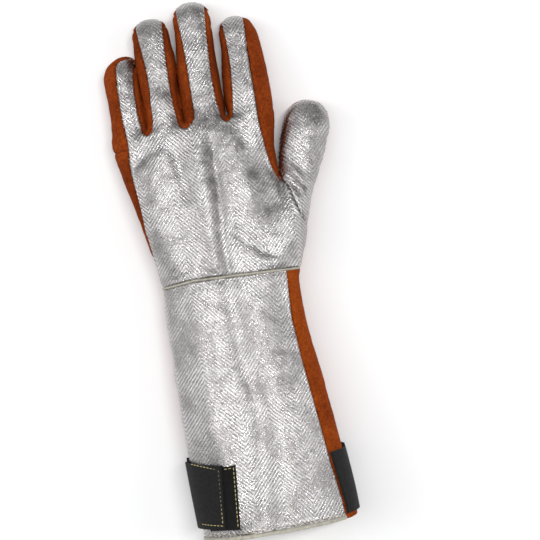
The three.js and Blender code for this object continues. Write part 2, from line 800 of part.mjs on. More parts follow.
// Strap: a band under the palm side, sewn in at the cuff's seam on the thumb's side, whose tab
// comes round on to the back and closes on the loop patch there.
const strapTop = -CUFF_LENGTH * STRAP_START;
const patchRoom = PATCH_THICKNESS + PIECE_GAP;
function overPatch(angle) {
  const degrees = angle / RADIANS;
  return eased((degrees - ON_PATCH.from) / ON_PATCH.rise) * eased((ON_PATCH.to - degrees) / ON_PATCH.fall);
}
const strapInside = (angle) => PIECE_GAP + patchRoom * overPatch(angle);
const strapShell = bodySolid((angle) => strapInside(angle) + STRAP_THICKNESS).subtract(
  bodySolid(strapInside, OPEN_MOUTH),
);
const outside = (MOUTH_WIDTH * STRAP_SPREAD) / 2;
const drop = STRAP_DROP * CUFF_LENGTH;
const tabDrop = TAB_DROP * CUFF_LENGTH;
const slant = END_SLANT * MOUTH_WIDTH;
const tabX = TAB_END * MOUTH_WIDTH;
const strapWaist = seamHeight(strapTop);
const strapFoot = strapTop - STRAP_WIDTH;
const flaredFoot = strapFoot - STRAP_FLARE * CUFF_LENGTH;
const underBand = [
  [-outside, strapTop],
  [outside, strapTop - drop],
  [outside, strapFoot - drop],
  [-outside, flaredFoot],
];
const tab = [
  [-outside, strapTop],
  [tabX, strapTop - tabDrop],
  [tabX - slant, strapFoot - tabDrop],
  [-outside, flaredFoot],
];
const seamSide = (y) => cuffEdgeX(-y / CUFF_LENGTH, y) + STRAP_SEAM_GAP;
const bandEnd = [
  [seamSide(strapTop - drop), strapTop - drop],
  [outside, strapTop - drop],
  [outside, strapFoot - drop],
  [seamSide(strapFoot - drop), strapFoot - drop],
];
const strapRegion = wasm.Manifold.union([
  prism(underBand, -FAR, strapWaist),
  prism(tab, strapWaist - OVERLAP),
  prism(bandEnd, strapWaist - OVERLAP),
]);
pieces.cuff_strap = strapShell.intersect(strapRegion);

const patchX = PATCH_END * MOUTH_WIDTH;
const patchTop = strapTop - tabDrop - PATCH_THICKNESS;
const patchOutline = [
  [patchX - PATCH_WIDTH, patchTop],
  [patchX, patchTop],
  [patchX - slant, patchTop - STRAP_WIDTH],
  [patchX - PATCH_WIDTH, patchTop - STRAP_WIDTH],
];
const patchShell = bodySolid(() => PIECE_GAP + PATCH_THICKNESS).subtract(
  bodySolid(() => PIECE_GAP, OPEN_MOUTH),
);
pieces.strap_patch = patchShell.intersect(prism(patchOutline, strapWaist));

// The named pieces with their materials.
const MATERIALS = {
  hand_back: "aluminized",
  thumb_back: "aluminized",
  cuff_back: "aluminized",
  wrist_welt: "piping",
  cuff_hem: "piping",
  cuff_strap: "strap",
  strap_patch: "strap",
};

// Keeps the piece itself and drops crumbs that a cut leaves beside it.
function wholePiece(solid) {
  const parts = solid.decompose();
  return parts.reduce((largest, part) => (part.volume() > largest.volume() ? part : largest));
}

function meshOf(name, solid) {
  const slot = MATERIALS[name] ?? "leather";
  const { numProp, vertProperties, triVerts } = wholePiece(solid).getMesh();
  const count = vertProperties.length / numProp;
  const positions = new Float32Array(count * 3);
  for (let i = 0; i < count; i++) {
    for (let axis = 0; axis < 3; axis++) {
      positions[i * 3 + axis] = vertProperties[i * numProp + axis];
    }
  }
  const geometry = new THREE.BufferGeometry();
  geometry.setAttribute("position", new THREE.BufferAttribute(positions, 3));
  geometry.setIndex(new THREE.BufferAttribute(triVerts, 1));
  geometry.computeVertexNormals();
  const material = new THREE.MeshStandardMaterial({ name: slot, ...COLOURS[slot] });
  const mesh = new THREE.Mesh(geometry, material);
  mesh.name = name;
  return mesh;
}

const glove = new THREE.Group();
glove.name = "aluminized_glove";
for (const [name, solid] of Object.entries(pieces)) {
  glove.add(meshOf(name, solid));
}

// The frame's origin is under the middle of the glove, on the floor.
const box = new THREE.Box3().setFromObject(glove);
const middle = box.getCenter(new THREE.Vector3());
glove.position.set(-middle.x, -middle.y, -box.min.z);
glove.updateMatrixWorld(true);

export default glove;
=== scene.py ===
import math

import bpy
import numpy as np
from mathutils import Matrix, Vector, kdtree, noise


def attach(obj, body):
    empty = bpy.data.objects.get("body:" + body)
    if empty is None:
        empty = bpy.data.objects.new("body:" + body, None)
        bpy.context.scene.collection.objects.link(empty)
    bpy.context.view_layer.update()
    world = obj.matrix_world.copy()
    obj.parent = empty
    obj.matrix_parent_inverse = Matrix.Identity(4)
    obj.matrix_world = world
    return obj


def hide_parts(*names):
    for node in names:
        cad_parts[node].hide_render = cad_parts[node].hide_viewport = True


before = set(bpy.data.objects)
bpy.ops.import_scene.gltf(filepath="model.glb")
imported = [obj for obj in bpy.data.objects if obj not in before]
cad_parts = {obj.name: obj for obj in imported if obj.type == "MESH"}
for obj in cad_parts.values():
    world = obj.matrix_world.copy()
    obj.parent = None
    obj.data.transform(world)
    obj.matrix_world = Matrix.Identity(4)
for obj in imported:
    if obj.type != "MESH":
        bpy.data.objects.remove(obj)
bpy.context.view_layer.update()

# Lengths are millimetres in plan: +Y from the cuff's mouth to the fingertips with the wrist seam
# at 0, +X towards the thumb's side, +Z up from the floor. ORIGIN is the frame's origin there.
ORIGIN = np.array([11.7632, 10.575, 0.0])

CUFF_LENGTH = 188.0
PALM_LENGTH = 115.0
MOUTH_WIDTH = 115.0
WRIST_WIDTH = 103.0
PALM_WIDTH = 121.0
MOUTH_DEPTH = 62.0
WRIST_DEPTH = 47.0
KNUCKLE_DEPTH = 38.0
CROTCH_ROUNDING = 4.0
LEATHER_WALL = 2.2
CLOTH_WALL = 1.6
STRAP_ROOM = 2.5
TOP_ROUNDNESS = 2.3
UNDERSIDE_ROUNDNESS = 2.8
WAIST_SHARE = 0.43
FLOOR_SAG = 1.5
GRID_STEP = 1.3
MM = 0.001

# Cuff sections from the wrist (0) to the mouth (1): along, flare, lean, deepen, lift.
CUFF_SECTIONS = [
    [0.0, 0.0, 0.009, 0.0, 0.0],
    [0.08, -0.09, -0.004, 0.02, 0.05],
    [0.26, 0.09, -0.004, 0.2, 0.35],
    [0.46, 0.5, 0.012, 0.5, 0.85],
    [0.65, 0.78, 0.027, 0.74, 1.0],
    [0.88, 1.0, 0.046, 0.94, 1.0],
    [1.0, 1.0, 0.052, 1.0, 1.0],
]
# Hand sections from the wrist (0) to the finger roots (1): along, spread, lean, thin.
HAND_SECTIONS = [
    [0.0, 0.0, 0.009, 0.0],
    [0.14, 0.19, 0.006, 0.0],
    [0.27, 0.36, -0.006, 0.05],
    [0.39, 0.43, -0.02, 0.1],
    [0.52, 0.5, -0.037, 0.2],
    [0.65, 0.59, -0.06, 0.4],
    [0.78, 0.76, -0.072, 0.62],
    [0.87, 0.93, -0.0735, 0.8],
    [0.96, 1.05, -0.07, 0.95],
    [1.0, 1.07, -0.069, 1.0],
]
# Fingers and thumb: root x and y as shares of the palm, then degrees and millimetres.
LIMBS = {
    "little": dict(x=-0.4587, y=0.87, turn=0, length=79, width=28, depth=31, rise=0, tip=19),
    "ring": dict(x=-0.2273, y=0.87, turn=0, length=103, width=29, depth=36.5, rise=0, tip=15),
    "middle": dict(x=0.0207, y=0.87, turn=0, length=110, width=31, depth=37.5, rise=0, tip=15),
    "index": dict(x=0.2959, y=0.87, turn=0, length=94, width=33, depth=34.5, rise=0, tip=17),
    "thumb": dict(x=0.38, y=0.19, turn=20.3, length=106, width=33, depth=31, rise=3.5, tip=20),
}
# Their sections from the root (0) to the tip (1): along, shift, breadth, tall.
LIMB_SECTIONS = {
    "little": [
        [0.0, 0.0, 0.8, 0.97], [0.2, -0.01, 0.95, 1.0], [0.4, 0.03, 0.97, 0.97],
        [0.6, 0.02, 0.93, 0.88], [0.8, 0.0, 0.94, 0.82], [0.92, 0.07, 0.92, 0.76],
        [1.0, 0.15, 0.8, 0.7],
    ],
    "ring": [
        [0.0, 0.0, 0.8, 0.97], [0.16, 0.0, 0.97, 1.0], [0.35, -0.02, 0.93, 0.9],
        [0.52, -0.015, 0.97, 0.83], [0.68, 0.0, 1.03, 0.77], [0.84, -0.01, 0.97, 0.7],
        [1.0, 0.0, 0.93, 0.64],
    ],
    "middle": [
        [0.0, 0.0, 0.8, 0.97], [0.15, 0.0, 0.97, 1.0], [0.3, -0.015, 1.03, 0.9],
        [0.5, 0.0, 1.0, 0.83], [0.65, 0.03, 0.93, 0.77], [0.8, 0.07, 0.9, 0.7],
        [1.0, 0.08, 0.92, 0.64],
    ],
    "index": [
        [0.0, -0.03, 0.8, 0.97], [0.18, 0.02, 1.02, 1.0], [0.42, 0.04, 1.07, 0.94],
        [0.6, 0.06, 1.0, 0.86], [0.8, 0.07, 0.88, 0.78], [1.0, 0.0, 0.8, 0.7],
    ],
    "thumb": [
        [-0.14, -0.05, 0.74, 1.1], [0.0, 0.0, 0.85, 1.25], [0.11, 0.02, 0.8, 1.2],
        [0.23, 0.03, 0.76, 1.1], [0.37, 0.035, 0.76, 1.0], [0.51, 0.02, 0.88, 0.97],
        [0.66, 0.0, 1.03, 0.95], [0.81, 0.01, 1.03, 0.92], [1.0, 0.0, 0.92, 0.85],
    ],
}
FINGERS = ["little", "ring", "middle", "index"]
LAST = len(FINGERS) - 1
# Edges of the aluminized strip on each finger: along, left and right shares of the half width.
STRIPS = {
    "little": [
        [0.28, -0.24, 0.74], [0.55, -0.33, 0.68], [0.8, -0.22, 0.82],
        [0.96, -0.3, 0.9],
    ],
    "ring": [
        [0.19, -0.68, 0.74], [0.32, -0.62, 0.7], [0.55, -0.5, 0.66],
        [0.78, -0.62, 0.7], [0.9, -0.74, 0.8], [1.06, -0.7, 0.7],
    ],
    "middle": [
        [0.19, -0.5, 0.8], [0.32, -0.47, 0.71], [0.55, -0.5, 0.71],
        [0.78, -0.72, 0.76], [0.9, -0.8, 0.82], [1.06, -0.7, 0.8],
    ],
    "index": [
        [0.22, -0.8, 0.34], [0.38, -0.66, 0.32], [0.6, -0.66, 0.3],
        [0.8, -0.74, 0.36], [0.93, -0.8, 0.55], [1.06, -0.7, 0.5],
    ],
}
# Seams in plan. Edges of the aluminized back: along, share of the half width.
HAND_EDGE = [
    [0.12, -1.05], [0.22, -0.985], [0.4, -0.966], [0.54, -0.92],
    [0.67, -0.89], [0.82, -0.86], [0.94, -0.81],
]
CUFF_EDGE = [
    [-0.03, 0.83], [0.0, 0.82], [0.2, 0.81], [0.35, 0.8],
    [0.55, 0.8], [0.7, 0.805], [0.82, 0.82], [0.93, 0.845],
    [1.1, 0.87],
]
# Points as shares of the palm's width and length.
INDEX_EDGE = [
    [0.348, 0.99], [0.352, 0.9], [0.36, 0.79], [0.378, 0.67],
    [0.398, 0.6],
]
THUMB_SEAM = [
    [0.418, 0.575], [0.447, 0.535], [0.466, 0.47], [0.484, 0.39],
    [0.508, 0.305], [0.56, 0.2],
]
THUMB_OUTSIDE = [
    [0.7, 0.2], [0.9, 0.8], [0.85, 1.2], [0.5, 1.2],
    [0.424, 0.83], [0.414, 0.62],
]
# Points as shares of the wrist's width and the palm's length.
WRIST_LINE = [
    [-0.7, 0.0], [-0.45, 0.006], [-0.25, 0.022], [0.0, 0.012],
    [0.3, -0.002], [0.7, -0.018],
]
# Where the leather finger fronts and the thumb's leather begin, as shares of the palm.
ROOT_SEAM = [
    [-0.8, 0.93], [0.15, 0.93], [0.223, 0.82], [0.314, 0.7],
    [0.38, 0.622], [0.405, 0.6], [0.4175, 0.61], [0.4185, 0.8],
    [0.46, 0.88],
]
THUMB_PATCH = [
    [0.405, 0.575], [0.314, 0.44], [0.33, 0.29], [0.43, 0.19],
    [0.7, 0.1],
]
# Heights of the side seams above the floor.
SEAM_HEIGHTS = dict(mouth=26.0, wrist=19.0, tips=10.0, thumb=15.0, front=7.5)
TIP_CAP = 7.0
HEM_WIDTH = 2.8

# Folds: height and spread in millimetres, then the points of the line they run along.
BACK_FOLDS = [
    (-3.2, 4.0, [(6, 126), (4.5, 100), (2.6, 57), (0, 28), (1, -6)]),
    (2.8, 6.5, [(-4, 122), (-7, 90), (-8, 0)]),
    (2.6, 7.5, [(18, 118), (21, 88), (28, 46)]),
    (1.8, 6, [(35, 148), (38, 86)]),
    (-1.4, 7, [(35, 92), (42, 14)]),
    (-1.8, 5, [(4, 40), (34, 10)]),
    (2.4, 5, [(18, 10), (50, 2)]),
    (-3.2, 4.6, [(-26, 120), (-19, 58)]),
    (2.8, 5, [(-32, 110), (-47, 64)]),
    (-3.2, 5, [(-58, 88), (-38, 112)]),
    (1.6, 7, [(-27, 146), (-26, 106)]),
    (2.0, 8, [(-48, 64), (-37, 6)]),
    (4.0, 8, [(-26, -2), (-30, -92), (-22, -188)]),
    (-3.2, 7, [(-1, 0), (0, -62), (6, -100), (-4, -188)]),
    (1.2, 8, [(18, -12), (21, -90), (18, -188)]),
    (-2.4, 7, [(33, -8), (42, -55)]),
]
THUMB_FOLDS = [
    (3.2, 3.2, [(57, 77), (72, 50)]),
    (-2.6, 3.0, [(54, 71), (68, 46)]),
    (1.6, 7, [(66, 44), (64, 22)]),
]
PALM_FOLDS = [
    (3.4, 7, [(4, 90), (11, 51), (31, 12)]),
    (2.6, 8, [(-36, 83), (-6, 76)]),
]
# The back is evened out across the finger roots, about here and this far each way.
ROOTS_Y = 117.0
ROOTS_REACH = 12.0
ROOTS_EASE = 1.6
ROOTS_HEIGHT = 24.0
ROOTS_FADE = 5.0
ROOTS_ROUNDS = 60
# Folds reach from this height up or down, fade over this, and taper at their ends.
FOLD_END = 4.5
FOLD_BASE = 16.0
FOLD_FADE = 9.0
# Small creases across the thumb on its inner side: centre, reach along and across, pitch, height.
THUMB_RIBS = dict(x=58.0, y=86.0, along=17.0, across=8.0, pitch=3.2, height=0.5)

# Joining of the fingers and the thumb with the hand: from where in plan, and how softly.
FINGERS_FROM_Y = 88.0
FINGER_JOIN = 4.0
THUMB_FROM_X = 22.0
THUMB_FROM_Y = -6.0
THUMB_JOIN = dict(least=2.0, more=9.0, up_to_y=66.0, fade=26.0)
ROOT_CAP = 8.0
# Distances further than this from the surface aren't needed.
FAR = 20.0
# The box of the grid that the surface is taken from.
GRID_LOW = np.array([-76.0, -CUFF_LENGTH - 8, -3.0])
GRID_HIGH = np.array([99.0, 216.0, 72.0])
GRID_BLOCK = 40
LEAST_SLOPE = 0.05
MOST_MOVE = 2.0
# Outlines in plan run on past the glove to these places.
OUTSIDE_X = 200
OUTSIDE_Y = 400
BELOW_WRIST = [[80, -20], [-80, -20]]
PAST_WRIST_Y = 20
PAST_CUFF_X = -120
# Crotches: share of each finger's width beside them, and the bridge of cloth across them.
CROTCH_SHARE = 0.49
CROTCH_HALF = 1.6
CROTCH_PAST = 0.4
# Cuts: bounds in plan of those that reach over a part of the glove only.
CUT_MARGIN = 0.12
SEAM_MARGIN = 1.0
FRONTS_FROM_Y = 60.0
FRONTS_UP_TO_X = 58.0
CROTCH_CUT_Y = (100.0, 126.0)
TIP_CUT_SHARE = 0.6
NO_CUT = 5.0


def smooth(share):
    """An easy step from 0 to 1."""
    s = np.clip(share, 0.0, 1.0)
    return s * s * (3 - 2 * s)


def curve(rows, count=240):
    """Samples a table densely on a smooth curve through its rows: places, then one array per column."""
    rows = np.array(rows, float)
    places = np.linspace(rows[0, 0], rows[-1, 0], count)
    i = np.clip(np.searchsorted(rows[:, 0], places, side="right") - 1, 0, len(rows) - 2)
    low, high = rows[i], rows[i + 1]
    before, after = rows[np.maximum(i - 1, 0)], rows[np.minimum(i + 2, len(rows) - 1)]
    step = high[:, :1] - low[:, :1]
    t = (places[:, None] - low[:, :1]) / step
    slope_low = (high - before) / (high[:, :1] - before[:, :1]) * step
    slope_high = (after - low) / (after[:, :1] - low[:, :1]) * step
    values = (
        (2 * t**3 - 3 * t**2 + 1) * low
        + (t**3 - 2 * t**2 + t) * slope_low
        + (3 * t**2 - 2 * t**3) * high
        + (t**3 - t**2) * slope_high
    )
    return places, values[:, 1:].T


def body_curves():
    """Half width, depth, centre and lift of the cuff and the hand along the glove."""
    cuff_at, (flare, cuff_lean, deepen, lift) = curve(CUFF_SECTIONS)
    hand_at, (spread, hand_lean, thin) = curve(HAND_SECTIONS)

    def whole(cuff, hand):
        return np.concatenate([cuff[::-1], hand[1:]])

    width = whole((MOUTH_WIDTH - WRIST_WIDTH) * flare, (PALM_WIDTH - WRIST_WIDTH) * spread)
    depth = whole((MOUTH_DEPTH - WRIST_DEPTH) * deepen, (KNUCKLE_DEPTH - WRIST_DEPTH) * thin)
    return dict(
        y=whole(-cuff_at * CUFF_LENGTH, hand_at * PALM_LENGTH),
        half=(WRIST_WIDTH + width) / 2,
        depth=WRIST_DEPTH + depth,
        centre=whole(cuff_lean * MOUTH_WIDTH, hand_lean * PALM_WIDTH),
        floor=whole(STRAP_ROOM * np.clip(lift, 0, 1), np.zeros(len(hand_at))),
    )


BODY = body_curves()


def body_at(name, y):
    return np.interp(y, BODY["y"], BODY[name])


def folds_at(folds, x, y):
    """Height of the folds over places in plan. Each fold dies away at its ends."""
    total = np.zeros(np.broadcast(x, y).shape)
    for height, spread, line in folds:
        nearest = np.full(total.shape, np.inf)
        along = np.zeros(total.shape)
        passed = 0.0
        for (x0, y0), (x1, y1) in zip(line, line[1:]):
            dx, dy = x1 - x0, y1 - y0
            t = np.clip(((x - x0) * dx + (y - y0) * dy) / (dx * dx + dy * dy), 0, 1)
            away = (x - x0 - t * dx) ** 2 + (y - y0 - t * dy) ** 2
            closer = away < nearest
            nearest = np.where(closer, away, nearest)
            along = np.where(closer, passed + t * math.hypot(dx, dy), along)
            passed += math.hypot(dx, dy)
        from_end = np.minimum(along, passed - along)
        total += height * np.exp(-nearest / spread**2) * smooth((from_end + FOLD_END) / (4 * FOLD_END))
    return total


def oval_distance(across, up, past, half, depth, floor, rounding):
    """Signed distance, nearly, to a rounded solid with flattened oval sections."""
    waist = floor + depth * WAIST_SHARE
    upper = up > waist
    power = np.where(upper, TOP_ROUNDNESS, UNDERSIDE_ROUNDNESS)
    reach = np.where(upper, depth * (1 - WAIST_SHARE), depth * WAIST_SHARE + FLOOR_SAG)
    u = np.abs(across) / half + 1e-6
    v = np.abs(up - waist) / reach + 1e-6
    w = np.clip(past / rounding, 0, None)
    total = u**power + v**power + w**power
    f = total ** (1 / power)
    slope = f ** (1 - power) * np.sqrt(
        (u ** (power - 1) / half) ** 2 + (v ** (power - 1) / reach) ** 2 + (w ** (power - 1) / rounding) ** 2
    )
    return np.clip((f - 1) / np.maximum(slope, 1e-3), -FAR, FAR)


def body_distance(x, y, z):
    half, depth, centre, floor = (body_at(name, y) for name in ("half", "depth", "centre", "floor"))
    return oval_distance(x - centre, z, y - PALM_LENGTH, half, depth, floor, CROTCH_ROUNDING)


LIMB_CURVES = {name: curve(rows) for name, rows in LIMB_SECTIONS.items()}


def limb_local(name, x, y):
    """Places in plan as along and across a finger or the thumb."""
    limb = LIMBS[name]
    turn = math.radians(limb["turn"])
    dx, dy = x - limb["x"] * PALM_WIDTH, y - limb["y"] * PALM_LENGTH
    return dx * math.sin(turn) + dy * math.cos(turn), dx * math.cos(turn) - dy * math.sin(turn)


def limb_place(name, along, across):
    """The place in plan that is so far along and across a finger or the thumb."""
    limb = LIMBS[name]
    turn = math.radians(limb["turn"])
    x = limb["x"] * PALM_WIDTH + math.sin(turn) * along + math.cos(turn) * across
    y = limb["y"] * PALM_LENGTH + math.cos(turn) * along - math.sin(turn) * across
    return x, y


def limb_section(name, along):
    """Shift, half width and depth at places along a finger or the thumb."""
    places, (shift, breadth, tall) = LIMB_CURVES[name]
    limb = LIMBS[name]
    t = np.clip(along / limb["length"], places[0], 1)
    return (
        np.interp(t, places, shift) * limb["width"],
        np.interp(t, places, breadth) * limb["width"] / 2,
        np.interp(t, places, tall) * limb["depth"],
    )


def limb_distance(name, x, y, z):
    limb = LIMBS[name]
    along, across = limb_local(name, x, y)
    shift, half, depth = limb_section(name, along)
    first = LIMB_CURVES[name][0][0] * limb["length"]
    past = np.maximum(along - (limb["length"] - limb["tip"]), 0) / limb["tip"]
    past = past + np.maximum(first - along, 0) / ROOT_CAP
    distance = oval_distance(across - shift, z, past * limb["tip"], half, depth, limb["rise"], limb["tip"])
    return np.maximum(distance, limb["rise"] - z)


def joined(a, b, reach):
    """Union of two distances that blends over a reach."""
    h = np.clip(0.5 + 0.5 * (b - a) / reach, 0, 1)
    return b + (a - b) * h - reach * h * (1 - h)


def glove_distance(x, y, z):
    """Signed distance, nearly, to the whole glove with its folds."""
    shape = np.broadcast(x, y, z).shape
    x, y, z = (np.broadcast_to(v, shape) for v in (x, y, z))
    real_z = z
    z = z - folds_at(BACK_FOLDS + THUMB_FOLDS, x, y) * smooth((z - FOLD_BASE) / FOLD_FADE)
    z = z - folds_at(PALM_FOLDS, x, y) * smooth((FOLD_BASE - z) / FOLD_FADE)
    result = body_distance(x, y, z)
    fingers = y > FINGERS_FROM_Y
    if fingers.any():
        fx, fy, fz = x[fingers], y[fingers], z[fingers]
        nearest = np.full(fx.shape, FAR)
        for name in FINGERS:
            nearest = np.minimum(nearest, limb_distance(name, fx, fy, fz))
        result[fingers] = joined(result[fingers], nearest, FINGER_JOIN)
    thumb = (y > THUMB_FROM_Y) & (x > THUMB_FROM_X)
    if thumb.any():
        tx, ty, tz = x[thumb], y[thumb], z[thumb]
        low = smooth((THUMB_JOIN["up_to_y"] - ty) / THUMB_JOIN["fade"])
        reach = THUMB_JOIN["least"] + THUMB_JOIN["more"] * low
        result[thumb] = joined(result[thumb], limb_distance("thumb", tx, ty, tz), reach)
    return np.maximum(result, body_at("floor", y) - real_z)


def surface_net(field, low, step):
    """Vertices and triangles of the zero surface of a field sampled on a grid."""
    cells = tuple(n - 1 for n in field.shape)
    total = np.zeros(cells + (3,), np.float32)
    count = np.zeros(cells, np.int8)
    corners = [(i, j, k) for i in (0, 1) for j in (0, 1) for k in (0, 1)]

    def view(corner):
        return field[tuple(slice(c, c + n) for c, n in zip(corner, cells))]

    for a in corners:
        for axis in range(3):
            if a[axis]:
                continue
            b = tuple(v + (axis == n) for n, v in enumerate(a))
            fa, fb = view(a), view(b)
            crossing = (fa < 0) != (fb < 0)
            t = fa[crossing] / (fa[crossing] - fb[crossing])
            place = np.repeat(np.array([a], np.float32), len(t), axis=0)
            place[:, axis] += t
            total[crossing] += place
            count[crossing] += 1
    used = count > 0
    index = np.full(cells, -1)
    index[used] = np.arange(used.sum())
    points = (np.argwhere(used) + total[used] / count[used][:, None]) * step + low
    triangles = []
    for axis in range(3):
        one, two = [n for n in range(3) if n != axis]
        near = [slice(None)] * 3
        near[axis] = slice(0, -1)
        far = [slice(None)] * 3
        far[axis] = slice(1, None)
        inside = field[tuple(near)] < 0
        crossing = inside != (field[tuple(far)] < 0)
        spots = np.argwhere(crossing)
        spots = spots[(spots[:, one] > 0) & (spots[:, two] > 0)]
        spots = spots[(spots[:, one] < cells[one]) & (spots[:, two] < cells[two])]
        turned = inside[tuple(spots.T)]
        ring = []
        for a, b in ((1, 1), (0, 1), (0, 0), (1, 0)):
            cell = spots.copy()
            cell[:, one] -= a
            cell[:, two] -= b
            ring.append(index[tuple(cell.T)])
        ring = np.stack(ring, axis=1)
        flip = turned if axis == 1 else ~turned
        ring[flip] = ring[flip][:, ::-1]
        triangles += [ring[:, [0, 1, 2]], ring[:, [0, 2, 3]]]
    return points, np.concatenate(triangles)


def slope_of(distance, points, h=0.2):
    """How a distance grows along each axis."""
    columns = []
    for axis in range(3):
        ahead, behind = points.copy(), points.copy()
        ahead[:, axis] += h
        behind[:, axis] -= h
        columns.append((distance(*ahead.T) - distance(*behind.T)) / (2 * h))
    return np.stack(columns, axis=1)


def settle(distance, points, level=0.0, rounds=3):
    """Moves points on to the surface at a level of the distance, and gives their outward directions."""
    for _ in range(rounds):
        slope = slope_of(distance, points)
        size = np.maximum((slope**2).sum(axis=1), LEAST_SLOPE)
        move = (distance(*points.T) - level) / size
        points = points - np.clip(move, -MOST_MOVE, MOST_MOVE)[:, None] * slope
    slope = slope_of(distance, points)
    return points, slope / np.maximum(np.linalg.norm(slope, axis=1), 1e-6)[:, None]


def edges_of(triangles):
    return np.concatenate([triangles[:, [0, 1]], triangles[:, [1, 2]], triangles[:, [2, 0]]])


def relaxed(points, triangles, weight, rounds):
    """Evens out the heights where the weight is near 1."""
    ends = edges_of(triangles)
    a, b = np.concatenate([ends, ends[:, ::-1]]).T
    size = len(points)
    count = np.bincount(a, minlength=size)
    height = points[:, 2].copy()
    for _ in range(rounds):
        mean = np.bincount(a, height[b], size) / count
        height += weight * (mean - height)
    return np.column_stack([points[:, :2], height])


def sliced(points, triangles, value, snap=0.16):
    """Cuts the triangles along the line where the value at the points is zero."""
    value = np.where(np.abs(value) < snap, 0.0, value)
    sign = np.sign(value).astype(int)[triangles]
    mixed = (sign.max(axis=1) > 0) & (sign.min(axis=1) < 0)
    if not mixed.any():
        return points, triangles
    kept, cut, sign = triangles[~mixed], triangles[mixed], sign[mixed]
    through = (sign == 0).any(axis=1)
    alone_sign = -np.sign(sign.sum(axis=1))
    alone_at = (sign == alone_sign[:, None]).argmax(axis=1)
    first = np.where(through, (sign == 0).argmax(axis=1), alone_at)
    order = (first[:, None] + np.arange(3)) % 3
    cut = np.take_along_axis(cut, order, axis=1)
    a, b, c = cut[:, 0], cut[:, 1], cut[:, 2]
    opposite, left, right = (np.stack(ends, 1) for ends in ((b, c), (a, b), (a, c)))
    edges = np.concatenate([opposite[through], left[~through], right[~through]])
    edges.sort(axis=1)
    unique, which = np.unique(edges, axis=0, return_inverse=True)
    which = which.ravel()
    lo, hi = value[unique[:, 0]], value[unique[:, 1]]
    t = np.clip(lo / (lo - hi), CUT_MARGIN, 1 - CUT_MARGIN)[:, None]
    fresh = points[unique[:, 0]] * (1 - t) + points[unique[:, 1]] * t
    new = which + len(points)
    n_through, n_alone = int(through.sum()), int((~through).sum())
    m = new[:n_through]
    ab, ac = new[n_through : n_through + n_alone], new[n_through + n_alone :]
    at, bt, ct = a[through], b[through], c[through]
    aa, ba, ca = a[~through], b[~through], c[~through]
    parts = [
        kept,
        np.stack([at, bt, m], 1),
        np.stack([at, m, ct], 1),
        np.stack([aa, ab, ac], 1),
        np.stack([ab, ba, ca], 1),
        np.stack([ab, ca, ac], 1),
    ]
    return np.concatenate([points, fresh]), np.concatenate(parts)


def rounded(outline, times=2):
    """Rounds an outline's corners by cutting them, as a closed loop."""
    outline = np.array(outline, float)
    for _ in range(times):
        following = np.roll(outline, -1, axis=0)
        pairs = [outline * 0.75 + following * 0.25, outline * 0.25 + following * 0.75]
        outline = np.stack(pairs, axis=1).reshape(-1, 2)
    return outline


def inside(outline, x, y):
    """Distance to an outline in plan, positive inside it."""
    nearest = np.full(x.shape, 1e9)
    winding = np.zeros(x.shape, bool)
    for (ax, ay), (bx, by) in zip(outline, np.roll(outline, -1, axis=0)):
        dx, dy = bx - ax, by - ay
        t = np.clip(((x - ax) * dx + (y - ay) * dy) / max(dx * dx + dy * dy, 1e-9), 0, 1)
        nearest = np.minimum(nearest, (x - ax - t * dx) ** 2 + (y - ay - t * dy) ** 2)
        if dy:
            winding ^= ((ay > y) != (by > y)) & (x < ax + (y - ay) * dx / dy)
    return np.where(winding, 1, -1) * np.sqrt(nearest)


def placed(rows, wide=PALM_WIDTH, long=PALM_LENGTH):
    return [[x * wide, y * long] for x, y in rows]


def crotch_x(i):
    """The middle in plan between a finger and the next."""
    near, far = LIMBS[FINGERS[i]], LIMBS[FINGERS[i + 1]]
    beside = near["width"] * CROTCH_SHARE - far["width"] * CROTCH_SHARE
    return ((near["x"] + far["x"]) * PALM_WIDTH + beside) / 2


def hand_outline():
    """The aluminized back of the hand in plan, with its strips up the fingers."""
    outline = []
    for along, share in HAND_EDGE:
        y = along * PALM_LENGTH
        outline.append([float(body_at("centre", y) + share * body_at("half", y)), y])
    for i, name in enumerate(FINGERS):
        sides = {1: [], 2: []}
        for row in STRIPS[name]:
            along = row[0] * LIMBS[name]["length"]
            shift, half, _ = limb_section(name, min(row[0], 1) * LIMBS[name]["length"])
            for side in (1, 2):
                sides[side].append(list(limb_place(name, along, shift + row[side] * half)))
        outline += sides[1] + sides[2][::-1]
        if i < LAST:
            bridge = PALM_LENGTH + CROTCH_PAST
            outline += [[crotch_x(i) - CROTCH_HALF, bridge], [crotch_x(i) + CROTCH_HALF, bridge]]
    return outline + placed(INDEX_EDGE) + placed(THUMB_SEAM) + BELOW_WRIST


def cuff_edge():
    """The aluminized cuff's edge on the thumb's side, in plan."""
    edge = []
    for along, share in CUFF_EDGE:
        y = -along * CUFF_LENGTH
        edge.append([float(body_at("centre", y) + share * body_at("half", y)), y])
    return edge


def cuff_outline():
    """The aluminized back of the cuff in plan."""
    edge = cuff_edge()
    above = [[PAST_CUFF_X, PAST_WRIST_Y], [edge[0][0], PAST_WRIST_Y]]
    return above + edge + [[PAST_CUFF_X, edge[-1][1]]]


HAND_LOOP = rounded(hand_outline())
THUMB_LOOP = rounded(placed(THUMB_SEAM) + placed(THUMB_OUTSIDE), 1)
THUMB_PATCH_LOOP = rounded(placed(THUMB_PATCH) + placed(THUMB_OUTSIDE[1:]), 1)
CUFF_LOOP = np.array(cuff_outline())
ROOTS_PAST = [[OUTSIDE_X, PALM_LENGTH], [OUTSIDE_X, OUTSIDE_Y], [-OUTSIDE_X, OUTSIDE_Y]]
ROOTS_LOOP = np.array(placed(ROOT_SEAM) + ROOTS_PAST + [[-OUTSIDE_X, ROOT_SEAM[0][1] * PALM_LENGTH]])


